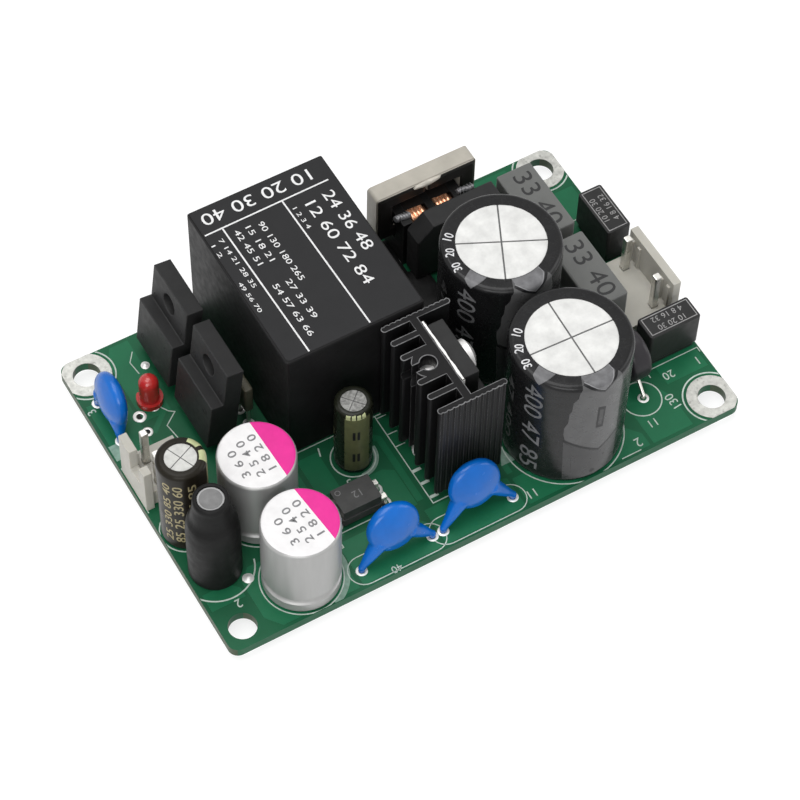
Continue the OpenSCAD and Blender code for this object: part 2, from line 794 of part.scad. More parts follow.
module primary_winding() {
    color("#b5651d") winding(primary_in, primary_r);
}

module secondary_winding() {
    color("#c87533") winding(secondary_in, secondary_r);
}

module transformer_pins() {
    color("#c9cacb") for (p = cover_pins) wire(p, pin_d, top + pin_seat - lead_fit);
}

// choke: a core ring of two halves, its lower leg through the bobbin
module choke_half() {
    ring_z = -choke_leg / 2;
    difference() {
        translate([seam / 2, -choke_depth / 2, ring_z])
            cube([choke_l / 2 - seam / 2, choke_depth, choke_ring]);
        translate([-over, -choke_depth, choke_leg / 2])
            cube([choke_l / 2 - choke_leg + over, 2 * choke_depth, choke_window]);
    }
}

module choke_core_right() {
    color("#8f8b84") on(choke_at, top + choke_axis) choke_half();
}

module choke_core_left() {
    color("#8f8b84") on(choke_at, top + choke_axis) mirror([1, 0, 0]) choke_half();
}

module choke_plate(x, t, down) {
    translate([x, -plate_half_y, -down]) cube([t, 2 * plate_half_y, down + plate_top]);
}

module choke_bobbin() {
    inner_y = choke_depth / 2 + fit;
    inner_z = choke_leg / 2 + fit;
    color("#2b2b2d") on(choke_at, top + choke_axis) difference() {
        union() {
            translate([-choke_inner / 2, -inner_y - choke_wall, -inner_z - choke_wall])
                cube([choke_inner, 2 * (inner_y + choke_wall), 2 * (inner_z + choke_wall)]);
            choke_plate(-choke_inner / 2, choke_end, choke_axis);
            choke_plate(choke_inner / 2 - choke_end, choke_end, choke_axis);
            choke_plate(-choke_mid / 2, choke_mid, coil_half_z);
        }
        translate([-choke_inner, -inner_y, -inner_z]) cube([2 * choke_inner, 2 * inner_y, 2 * inner_z]);
        for (p = choke_feet) translate([p[0] - choke_at[0], p[1] - choke_at[1], -choke_axis - over])
            cylinder(d = pin_d + 2 * lead_fit, h = pin_seat + over);
    }
}

module choke_winding(s) {
    tube_y = choke_depth / 2 + choke_tube + lead_fit;
    tube_z = choke_leg / 2 + choke_tube + lead_fit;
    length = choke_section - 2 * lead_fit;
    middle = s * (choke_mid + choke_section) / 2;
    on(choke_at, top + choke_axis) translate([middle, 0, 0]) difference() {
        translate([-length / 2, 0, 0]) rotate([0, 90, 0])
            rounded_box(2 * coil_half_z, 2 * coil_half_y, length, choke_build * 0.8);
        translate([-choke_l, -tube_y, -tube_z]) cube([2 * choke_l, 2 * tube_y, 2 * tube_z]);
    }
}

module choke_winding_left() {
    color("#c56a35") choke_winding(-1);
}

module choke_winding_right() {
    color("#c56a35") choke_winding(1);
}

module choke_pins() {
    color("#c9cacb") for (p = choke_feet) wire(p, pin_d, top + pin_seat - lead_fit);
}

// electrolytic and polymer capacitors
module bulk_can_1() {
    color("#d9dadb") on(bulk_at[0]) can(bulk_d, bulk_h);
}

module bulk_can_2() {
    color("#d9dadb") on(bulk_at[1]) can(bulk_d, bulk_h);
}

module bulk_sleeve_1() {
    color("#2a2a2c") on(bulk_at[0]) sleeve(bulk_d, bulk_h, bulk_rim);
}

module bulk_sleeve_2() {
    color("#2a2a2c") on(bulk_at[1]) sleeve(bulk_d, bulk_h, bulk_rim);
}

module polymer_can(p) {
    bead_r = 2 * bead_depth;
    bead_z = top + can_stand + bung_h;
    on(p) difference() {
        can(polymer_d, polymer_h);
        translate([0, 0, bead_z]) rotate_extrude()
            translate([polymer_r + bead_r - bead_depth, 0]) circle(r = bead_r);
    }
}

module polymer_can_1() {
    color("#b7b8b6") polymer_can(polymer_at[0]);
}

module polymer_can_2() {
    color("#b7b8b6") polymer_can(polymer_at[1]);
}

module output_filter_can() {
    color("#d9dadb") on(output_at) can(output_d, output_h);
}

module output_filter_sleeve() {
    color("#3b352d") on(output_at) sleeve(output_d, output_h, output_rim);
}

module supply_filter_can() {
    color("#d9dadb") on(supply_at) can(supply_d, supply_h);
}

module supply_filter_sleeve() {
    color("#33342c") on(supply_at) sleeve(supply_d, supply_h, supply_rim);
}

module capacitor_bungs() {
    color("#151515") {
        for (p = bulk_at) bung(p, bulk_d, row_x(p, bulk_pitch, 2), bulk_lead);
        for (p = polymer_at) bung(p, polymer_d, row_x(p, polymer_pitch, 2), wire_d);
        bung(output_at, output_d, output_leads, wire_d);
        bung(supply_at, supply_d, supply_leads, wire_d);
    }
}

module capacitor_leads() {
    color("#c9cacb") {
        for (p = bulk_leads) wire(p, bulk_lead, top + bung_h);
        for (p = concat(polymer_leads, output_leads, supply_leads)) wire(p, wire_d, top + bung_h);
    }
}

// inductor: a drum core, its winding and the sleeve shrunk over both
module inductor_core() {
    color("#77787a") on(inductor_at, top) {
        cylinder(d = coil_d - fit, h = drum_base_h);
        cylinder(d = drum_post_d, h = drum_h);
        translate([0, 0, drum_h - drum_top_h]) cylinder(d = drum_top_d, h = drum_top_h);
    }
}

module inductor_winding() {
    color("#b5651d") on(inductor_at, top + drum_base_h + lead_fit)
        ring(coil_d / 2, drum_post_d / 2 + lead_fit, drum_h - drum_top_h - drum_base_h - 2 * lead_fit);
}

module inductor_sleeve() {
    wide = coil_d / 2 + lead_fit;
    slim = drum_top_d / 2 + lead_fit;
    shoulder = drum_h - drum_top_h + lead_fit;
    slope = min(shrink_slope, drum_top_h - shrink_t);
    lid = drum_h + lead_fit;
    color("#1b1b1c") on(inductor_at, top) rotate_extrude() polygon([
        [wide, 0], [wide + shrink_t, 0], [wide + shrink_t, shoulder], [slim + shrink_t, shoulder + slope],
        [slim + shrink_t, lid + shrink_t], [shrink_open / 2, lid + shrink_t], [shrink_open / 2, lid],
        [slim, lid], [slim, shoulder + slope], [wide, shoulder]
    ]);
}

module inductor_leads() {
    color("#c9cacb") for (p = inductor_wires) wire(p, wire_d, top);
}

// blue coated discs: one solid with the coating on their legs
module coated_disc() {
    r = disc_d / 2;
    rim_at = r - disc_rim;
    bulge = (rim_at * rim_at + disc_t * disc_t / 4 - disc_rim * disc_rim) / (disc_t - 2 * disc_rim);
    meet = rim_at * bulge / (bulge - disc_rim);
    rotate([90, 0, 0]) rotate_extrude() {
        intersection() {
            translate([0, disc_t / 2 - bulge]) circle(r = bulge, $fn = 96);
            translate([0, bulge - disc_t / 2]) circle(r = bulge, $fn = 96);
            translate([0, -disc_t]) square([meet, 2 * disc_t]);
        }
        translate([rim_at, 0]) circle(r = disc_rim);
    }
}

module coated_leg(pitch, lift) {
    root = [disc_d * 0.3, -disc_d * 0.22];
    run = pitch / 2 - root[0];
    rise = lift + root[1];
    length = sqrt(run * run + rise * rise);
    translate([pitch / 2, 0, 0]) rotate([0, -atan2(run, rise), 0])
        cylinder(d1 = leg_d, d2 = leg_root_d, h = length);
}

module safety_capacitor(pitch, lift, lean) {
    translate([0, 0, foot_h]) rotate([-lean, 0, 0]) {
        translate([0, 0, lift]) coated_disc();
        for (s = [0, 1]) mirror([s, 0, 0]) coated_leg(pitch, lift);
    }
    for (s = [-1, 1]) translate([s * pitch / 2, 0, 0]) {
        cylinder(d = leg_d, h = foot_h);
        translate([0, 0, foot_h]) sphere(d = leg_d * 1.12);
    }
}

module safety_capacitor_1() {
    color("#1f78c8") on(safety_at[0], top) safety_capacitor(disc_pitch, disc_lift, disc_lean);
}

module safety_capacitor_2() {
    color("#1f78c8") on(safety_at[1], top) safety_capacitor(disc_pitch, disc_lift_2, disc_lean);
}

module safety_capacitor_3() {
    color("#1f78c8") on(side_at, top) rotate([0, 0, -90]) safety_capacitor(side_pitch, disc_lift, side_lean);
}

// film capacitors, fuses and thermistor
module film_capacitor_1() {
    color("#6f7174") on(film_at[0], top) rounded_box(film_w, film_l, film_h, box_round);
}

module film_capacitor_2() {
    color("#6f7174") on(film_at[1], top) rounded_box(film_w, film_l, film_h, box_round);
}

module snubber_capacitor() {
    color("#8a8a80") on(snub_at, top + snub_stand) rounded_box(snub_t, snub_l, snub_h, box_round);
}

module fuse(l, w) {
    rounded_box(l - 2 * fuse_inset, w - 2 * fuse_inset, fuse_foot + lead_fit, box_round);
    translate([0, 0, fuse_foot]) rounded_box(l, w, fuse_h - fuse_foot, box_round);
}

module fuse_1() {
    color("#3a3a3b") on(fuse_at[0], top) fuse(fuse_w, fuse_l);
}

module fuse_2() {
    color("#3a3a3b") on(fuse_at[1], top) fuse(fuse_l, fuse_w);
}

module thermistor() {
    round_r = ntc_t / 4;
    flat = ntc_t - 2 * round_r;
    color("#2b2930") on(thermistor_at, top + ntc_stand + ntc_d / 2) rotate([0, 90, 0]) rotate_extrude() {
        translate([0, -ntc_t / 2]) square([ntc_d / 2 - round_r, ntc_t]);
        translate([0, -flat / 2]) square([ntc_d / 2, flat]);
        for (s = [-1, 1]) translate([ntc_d / 2 - round_r, s * flat / 2]) circle(r = round_r);
    }
}

module thermistor_lead_pair() {
    middle = ntc_stand + ntc_d / 2;
    near = thermistor_leads[0];
    wire(near, wire_d, top + ntc_bend);
    on(near, top + ntc_bend) {
        sphere(d = wire_d * 1.1);
        rotate([-atan2(ntc_back, middle - ntc_bend), 0, 0]) cylinder(d = wire_d, h = middle);
    }
    wire(thermistor_leads[1], wire_d, top + middle);
}

module wire_leads() {
    color("#c9cacb") {
        for (p = concat(safety_leads, film_leads, fuse_leads, led_leads)) wire(p, wire_d, top);
        for (p = snub_leads) wire(p, wire_d, top + snub_stand);
        difference() {
            thermistor_lead_pair();
            on(thermistor_at, top + ntc_stand + ntc_d / 2) rotate([0, 90, 0])
                translate([0, 0, -ntc_t]) cylinder(d = ntc_d, h = 2 * ntc_t);
        }
    }
}

// headers: a floor with pin holes and a tall wall at the back, which is at +x
module header(l, posts, p) {
    front = pin_back - header_depth;
    difference() {
        union() {
            translate([front, -l / 2, 0]) cube([header_depth, l, header_floor]);
            translate([pin_back - header_wall, -l / 2, 0]) cube([header_wall, l, header_h]);
            for (q = posts, s = [-1, 1]) translate([
                pin_back - header_wall - rib_t, q[1] - p[1] + s * (post_w + rib_w) / 2 - rib_w / 2, 0
            ]) cube([header_wall, rib_w, header_h - 2 * rib_w]);
        }
        for (q = posts) translate([0, q[1] - p[1], -over])
            translate([-post_w / 2 - lead_fit, -post_w / 2 - lead_fit, 0])
                cube([post_w + 2 * lead_fit, post_w + 2 * lead_fit, header_floor + 2 * over]);
        for (s = [0, 1]) mirror([0, s, 0])
            translate([pin_back - header_wall - key_w, l / 2 - key_depth, -over])
                cube([key_w, key_depth + over, header_floor + 2 * over]);
    }
}

module posts(points) {
    for (p = points) on(p, -lead_end) translate([-post_w / 2, -post_w / 2, 0])
        cube([post_w, post_w, lead_end + top + post_h]);
}

module inlet_header() {
    color("#e9e6dc") on(inlet_at, top) header(inlet_l, inlet_posts, inlet_at);
}

module inlet_pins() {
    color("#c9cacb") posts(inlet_posts);
}

module output_header() {
    color("#e9e6dc") on(outlet_at, top) mirror([1, 0, 0]) difference() {
        header(outlet_l, outlet_posts, outlet_at);
        translate([pin_back - header_wall - rib_t - over, -notch_off - notch_w / 2, notch_floor])
            cube([header_wall + rib_t + 2 * over, notch_w, header_h]);
    }
}

module output_pins() {
    color("#c9cacb") posts(outlet_posts);
}

module led_lens() {
    flange = led_d / 2 + led_lip;
    color("#c8201e") on(led_at, top) {
        difference() {
            cylinder(r = flange, h = led_flange_h);
            translate([-flange, led_d / 2, -over]) cube([2 * flange, flange, led_flange_h + 2 * over]);
        }
        cylinder(d = led_d, h = led_h - led_d / 2);
        translate([0, 0, led_h - led_d / 2]) sphere(d = led_d);
    }
}

// rectifiers lean towards the transformer, with their fronts to the board's left edge
module rectifier(p) {
    on(p, top) rotate([0, rect_lean, 0]) translate([pack_back, 0, rect_stand]) mirror([1, 0, 0]) package();
}

module rectifier_1() {
    color("#2f2f31") rectifier(rect_at[0]);
}

module rectifier_2() {
    color("#2f2f31") rectifier(rect_at[1]);
}

module transistor() {
    color("#2f2f31") on(transistor_at, top + transistor_stand) package();
}

module bent_lead(p) {
    flat_lead(p, top);
    on(p, top) rotate([0, rect_lean, 0]) translate([-lead_t / 2, -lead_w / 2, -lead_t / 2])
        cube([lead_t, lead_w, rect_stand + lead_t / 2]);
}

module opto_lead(p, s) {
    shoulder = top + opto_stand + opto_h / 2;
    flat_lead(p, shoulder);
    translate([p[0] - (s > 0 ? opto_reach : 0), p[1] - lead_w / 2, shoulder - lead_t])
        cube([opto_reach, lead_w, lead_t]);
}

module package_leads() {
    color("#c9cacb") {
        for (p = rect_leads) bent_lead(p);
        for (p = transistor_leads) flat_lead(p, top + transistor_stand);
        for (p = bridge_leads) flat_lead(p, top + bridge_stand);
        for (p = opto_leads) opto_lead(p, p[0] - opto_at[0]);
    }
}

// heat sink: a web with long end fins, shorter fins behind it and a channel for the solder pin
module fin_end(l, t) {
    square([l - t / 2, t]);
    translate([l - t / 2, t / 2]) circle(d = t);
}

module sink_profile() {
    end_y = sink_w / 2 - fin_t;
    boss_y = channel_d / 2 + channel_wall - fin_t / 2;
    middle_y = (end_y + boss_y) / 2;
    difference() {
        union() {
            translate([0, -sink_w / 2]) square([web_t, sink_w]);
            for (s = [0, 1]) mirror([0, s]) {
                translate([web_t / 2, end_y]) fin_end(web_t / 2 + fin_front, fin_t);
                for (y = [boss_y, middle_y, end_y]) translate([web_t / 2, y])
                    mirror([1, 0]) fin_end(web_t / 2 + fin_back, fin_t);
            }
            translate([-channel_d / 2, 0]) circle(r = channel_d / 2 + channel_wall);
        }
        translate([-channel_d / 2, 0]) circle(d = channel_d);
        translate([-fin_back - over, -channel_d / 4])
            square([fin_back + over - channel_d / 2, channel_d / 2]);
        for (s = [-1, 1], x = [groove_w - fin_back : groove_pitch : web_t + fin_front - groove_w])
            translate([x, s * (sink_w / 2 + groove_w / 4)]) circle(d = groove_w);
    }
}

module heat_sink() {
    color("#26282c") difference() {
        on(web_at, top + sink_stand) linear_extrude(height = sink_h) sink_profile();
        translate([web_at[0] - fin_back - over, transistor_at[1], screw_z])
            rotate([0, 90, 0]) cylinder(d = screw_d + 2 * lead_fit, h = fin_back + 2 * web_t);
    }
}

module heat_sink_screw() {
    head_x = transistor_at[0] + tab_t;
    shank = tab_t + pad_t + web_t + channel_d / 2;
    color("#cfd0d1") translate([head_x, transistor_at[1], screw_z]) rotate([0, 90, 0]) {
        translate([0, 0, -shank]) cylinder(d = screw_d, h = shank + lead_fit);
        difference() {
            intersection() {
                cylinder(d = screw_head_d, h = screw_head_h);
                translate([0, 0, -screw_head_d * 0.3]) sphere(d = 2 * (screw_head_h + screw_head_d * 0.3));
            }
            for (a = [0, 90]) rotate([0, 0, a])
                translate([-screw_d / 2, -lead_t / 2, screw_head_h - lead_t * 2])
                    cube([screw_d, lead_t, screw_head_h]);
        }
    }
}

module heat_sink_pin() {
    color("#c9cacb") wire(channel_at, channel_d - 2 * lead_fit, top + sink_pin_l);
}

module thermal_pad() {
    pad_w = pack_w + 2 * pad_lip;
    color("#e6e6e2") difference() {
        translate([web_at[0] + web_t, transistor_at[1] - pad_w / 2, top + transistor_stand - pad_lip])
            cube([pad_t, pad_w, pad_lip + pack_h + pad_rise]);
        translate([web_at[0], transistor_at[1], screw_z])
            rotate([0, 90, 0]) cylinder(d = screw_d + 2 * lead_fit, h = 2 * web_t + pad_t);
    }
}

// bridge rectifier, optocoupler and the controller chip under the board
module bridge_rectifier() {
    color("#232325") on(bridge_at, top + bridge_stand) rotate([90, 0, 0])
        translate([-bridge_l / 2, 0, -bridge_t / 2]) linear_extrude(height = bridge_t) polygon([
            [0, 0], [bridge_l, 0], [bridge_l, bridge_h], [bridge_cut, bridge_h], [0, bridge_h - bridge_cut]
        ]);
}

module optocoupler() {
    lower = opto_h / 2 - lead_t;
    draft = 0.15;
    color("#333335") on(opto_at, top + opto_stand) {
        rounded_box(opto_l - 2 * draft, opto_w - 2 * draft, opto_h, draft);
        translate([0, 0, lower]) rounded_box(opto_l, opto_w, lead_t, draft);
    }
}

module controller_chip() {
    leads = row_x([0, 0], chip_pitch, 4);
    foot = 0.2;
    lead_half = chip_pitch / 6;
    color("#2a2a2c") on(cover_at) mirror([0, 0, 1]) {
        translate([-chip_l / 2, -chip_w / 2, foot / 2]) cube([chip_l, chip_w, chip_h]);
        for (p = leads, s = [0, 1]) mirror([0, s, 0]) {
            translate([p[0] - lead_half, chip_w / 2 - foot, chip_h / 2])
                cube([2 * lead_half, chip_reach / 2 + 2 * foot, foot]);
            translate([p[0] - lead_half, chip_w / 2 + chip_reach / 2, 0])
                cube([2 * lead_half, foot, chip_h / 2 + foot]);
            translate([p[0] - lead_half, chip_w / 2 + chip_reach / 2, 0])
                cube([2 * lead_half, chip_reach / 2, foot]);
        }
    }
}

circuit_board();
mounting_lands();
solder_joints();
transformer_cover();
transformer_core_lower();
transformer_core_upper();
transformer_bobbin();
primary_winding();
secondary_winding();
transformer_pins();
choke_core_left();
choke_core_right();
choke_bobbin();
choke_winding_left();
choke_winding_right();
choke_pins();
bulk_can_1();
bulk_can_2();
bulk_sleeve_1();
bulk_sleeve_2();
polymer_can_1();
polymer_can_2();
output_filter_can();
output_filter_sleeve();
supply_filter_can();
supply_filter_sleeve();
capacitor_bungs();
capacitor_leads();
inductor_core();
inductor_winding();
inductor_sleeve();
inductor_leads();
safety_capacitor_1();
safety_capacitor_2();
safety_capacitor_3();
film_capacitor_1();
film_capacitor_2();
snubber_capacitor();
fuse_1();
fuse_2();
thermistor();
wire_leads();
inlet_header();
inlet_pins();
output_header();
output_pins();
led_lens();
rectifier_1();
rectifier_2();
transistor();
package_leads();
heat_sink();
heat_sink_screw();
heat_sink_pin();
thermal_pad();
bridge_rectifier();
optocoupler();
controller_chip();
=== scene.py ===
# Power supply module: finishes, prints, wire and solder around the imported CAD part.
import math
import bmesh
import bpy
from mathutils import Matrix, Vector, noise


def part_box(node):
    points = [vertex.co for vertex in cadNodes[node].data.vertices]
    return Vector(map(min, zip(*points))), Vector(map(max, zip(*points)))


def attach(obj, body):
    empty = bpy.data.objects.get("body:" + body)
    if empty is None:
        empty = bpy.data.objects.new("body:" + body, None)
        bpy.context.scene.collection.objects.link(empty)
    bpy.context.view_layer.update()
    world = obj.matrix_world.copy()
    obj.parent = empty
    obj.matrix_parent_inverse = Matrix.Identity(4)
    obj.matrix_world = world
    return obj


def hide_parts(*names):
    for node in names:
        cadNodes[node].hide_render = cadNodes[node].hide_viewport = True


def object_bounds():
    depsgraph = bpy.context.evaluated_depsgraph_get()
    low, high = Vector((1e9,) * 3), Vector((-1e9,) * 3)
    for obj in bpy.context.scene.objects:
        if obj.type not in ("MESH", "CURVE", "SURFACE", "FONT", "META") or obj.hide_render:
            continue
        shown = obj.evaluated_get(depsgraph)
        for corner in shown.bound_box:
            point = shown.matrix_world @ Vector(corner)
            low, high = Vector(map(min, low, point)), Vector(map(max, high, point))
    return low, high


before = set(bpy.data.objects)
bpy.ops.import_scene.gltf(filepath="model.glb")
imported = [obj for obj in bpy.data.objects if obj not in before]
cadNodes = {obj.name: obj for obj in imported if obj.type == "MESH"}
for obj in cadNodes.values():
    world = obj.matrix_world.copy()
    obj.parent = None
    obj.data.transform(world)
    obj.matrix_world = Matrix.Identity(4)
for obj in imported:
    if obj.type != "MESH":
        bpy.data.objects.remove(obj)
cadLow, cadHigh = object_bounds()
scene = bpy.context.scene
mm = 0.001  # shapes are drawn in millimetres and made into metres at the end


def corners(name):
    low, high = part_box(name)
    return low / mm, high / mm


def middle(name):
    low, high = corners(name)
    return (low + high) / 2


boardLow, boardHigh = corners("circuit_board")
boardTop = boardHigh.z
boardBed = boardTop - 0.02  # what lies on the board starts a little inside it
printBed = 0.03  # and print on a part this far inside the part
print("frame loaded, board", [round(v, 2) for v in boardHigh - boardLow])


# finishes

def addNode(tree, kind, inputs=None, **settings):
    made = tree.nodes.new(kind)
    for key, value in settings.items():
        setattr(made, key, value)
    for key, value in (inputs or {}).items():
        if isinstance(value, bpy.types.NodeSocket):
            tree.links.new(value, made.inputs[key])
        else:
            made.inputs[key].default_value = value
    return made


def addMath(tree, operation, *values):
    return addNode(tree, "ShaderNodeMath", dict(enumerate(values)), operation=operation).outputs[0]


def rgba(colour):
    return (*colour, 1.0)


def shade(colour, by):
    return tuple(min(1.0, c * by) for c in colour)


def cloud(tree, place, scale, detail=4.0, rough=0.6):
    inputs = {"Vector": place, "Scale": scale, "Detail": detail, "Roughness": rough}
    return addNode(tree, "ShaderNodeTexNoise", inputs).outputs["Fac"]


def spread(tree, value, low, high, start=0.3, end=0.7):
    inputs = {"Value": value, "From Min": start, "From Max": end, "To Min": low, "To Max": high}
    return addNode(tree, "ShaderNodeMapRange", inputs).outputs["Result"]


def twoTone(tree, value, dark, light, start=0.3, end=0.7):
    ramp = addNode(tree, "ShaderNodeValToRGB", {"Fac": value})
    for stop, position, colour in zip(ramp.color_ramp.elements, (start, end), (dark, light)):
        stop.position = position
        stop.color = rgba(colour)
    return ramp.outputs["Color"]


mixSockets = {"factor": 0, "first": 6, "second": 7, "out": 2}  # a mix node's sockets when it mixes colours


def mixColour(tree, factor, first, second):
    m = mixSockets
    if not isinstance(second, bpy.types.NodeSocket):
        second = rgba(second)
    inputs = {m["factor"]: factor, m["first"]: first, m["second"]: second}
    return addNode(tree, "ShaderNodeMix", inputs, data_type="RGBA").outputs[m["out"]]


def faceMask(tree, axis, limit=0.5):
    # 1 on faces that look along the axis, either way
    normal = addNode(tree, "ShaderNodeNewGeometry").outputs["Normal"]
    part = addNode(tree, "ShaderNodeSeparateXYZ", {"Vector": normal}).outputs[axis]
    return addMath(tree, "GREATER_THAN", addMath(tree, "ABSOLUTE", part), limit)


def edgeMask(tree, radius, start=0.80, end=0.985):
    # 1 close to an edge, for rubbed corners and painted edge highlights
    rounded = addNode(tree, "ShaderNodeBevel", {"Radius": radius * mm}, samples=4).outputs["Normal"]
    plain = addNode(tree, "ShaderNodeNewGeometry").outputs["Normal"]
    facing = addNode(tree, "ShaderNodeVectorMath", {0: rounded, 1: plain}, operation="DOT_PRODUCT")
    return spread(tree, facing.outputs["Value"], 1.0, 0.0, start, end)


def addBump(tree, place, wave, detail, strength):
    height, scale = wave
    inputs = {"Height": cloud(tree, place, scale, detail), "Strength": strength, "Distance": height * mm}
    return addNode(tree, "ShaderNodeBump", inputs)


# what a finish has where its own entry says nothing
plainLook = {"shine": 0.5, "metal": 0.0, "coat": 0.0, "clear": 0.0, "glow": 0.0, "roughScale": 700,
             "grainStrength": 0.6, "coatRough": 0.12, "glowColour": (1.0, 0.9, 0.7), "glowDepth": 0.6 * mm}
shaderSockets = {
    "shine": "Specular IOR Level", "metal": "Metallic", "coat": "Coat Weight", "coatRough": "Coat Roughness",
    "clear": "Transmission Weight", "glow": "Subsurface Weight", "glowColour": "Subsurface Radius",
    "glowDepth": "Subsurface Scale",
}
sideGrain, edgeGrain = 1400, 900  # scales of the clouds on faces of another colour along an axis, and on worn and highlighted edges


def makeFinish(name, entry):
    look = {**plainLook, **entry}
    material = bpy.data.materials.new(name)
    material.use_nodes = True
    tree = material.node_tree
    shader = tree.nodes["Principled BSDF"]
    place = addNode(tree, "ShaderNodeTexCoord").outputs["Object"]
    if "stretch" in look:  # drawn or brushed along one axis
        inputs = {"Vector": place, "Scale": look["stretch"]}
        place = addNode(tree, "ShaderNodeMapping", inputs).outputs["Vector"]
    colour, vary = look["colour"], look["vary"]
    patches = cloud(tree, place, look["patch"], 5)
    base = twoTone(tree, patches, shade(colour, 1 - vary), shade(colour, 1 + vary))
    if "speck" in look:  # small spots: colour, scale, amount
        spotColour, scale, amount = look["speck"]
        spots = spread(tree, cloud(tree, place, scale, 2), 0.0, amount, 0.58, 0.72)
        base = mixColour(tree, spots, base, spotColour)
    if "side" in look:  # another colour on faces that look along an axis: the board's cut edges, and painted shade on the choke core's front and back
        axis, sideColour = look["side"]
        grainy = twoTone(tree, cloud(tree, place, sideGrain), shade(sideColour, 0.8), shade(sideColour, 1.2))
        base = mixColour(tree, faceMask(tree, axis), base, grainy)
    if "edgeWearAndGlint" in look:  # edges of another colour, partly wear and partly a painted highlight along the edge: reach, colour, amount
        reach, edgeColour, amount = look["edgeWearAndGlint"]
        patchy = spread(tree, cloud(tree, place, edgeGrain), 0.2, amount)
        base = mixColour(tree, addMath(tree, "MULTIPLY", edgeMask(tree, reach), patchy), base, edgeColour)
    roughness = spread(tree, cloud(tree, place, look["roughScale"], 5), *look["rough"])
    bump = addBump(tree, place, look["grain"], 4, look["grainStrength"])
    if "ripple" in look:  # longer waves under the grain
        wave = addBump(tree, place, look["ripple"], 2, 1.0)
        tree.links.new(wave.outputs["Normal"], bump.inputs["Normal"])
    tree.links.new(base, shader.inputs["Base Color"])
    tree.links.new(roughness, shader.inputs["Roughness"])
    tree.links.new(bump.outputs["Normal"], shader.inputs["Normal"])
    for key, socket in shaderSockets.items():
        shader.inputs[socket].default_value = look[key]
    return material


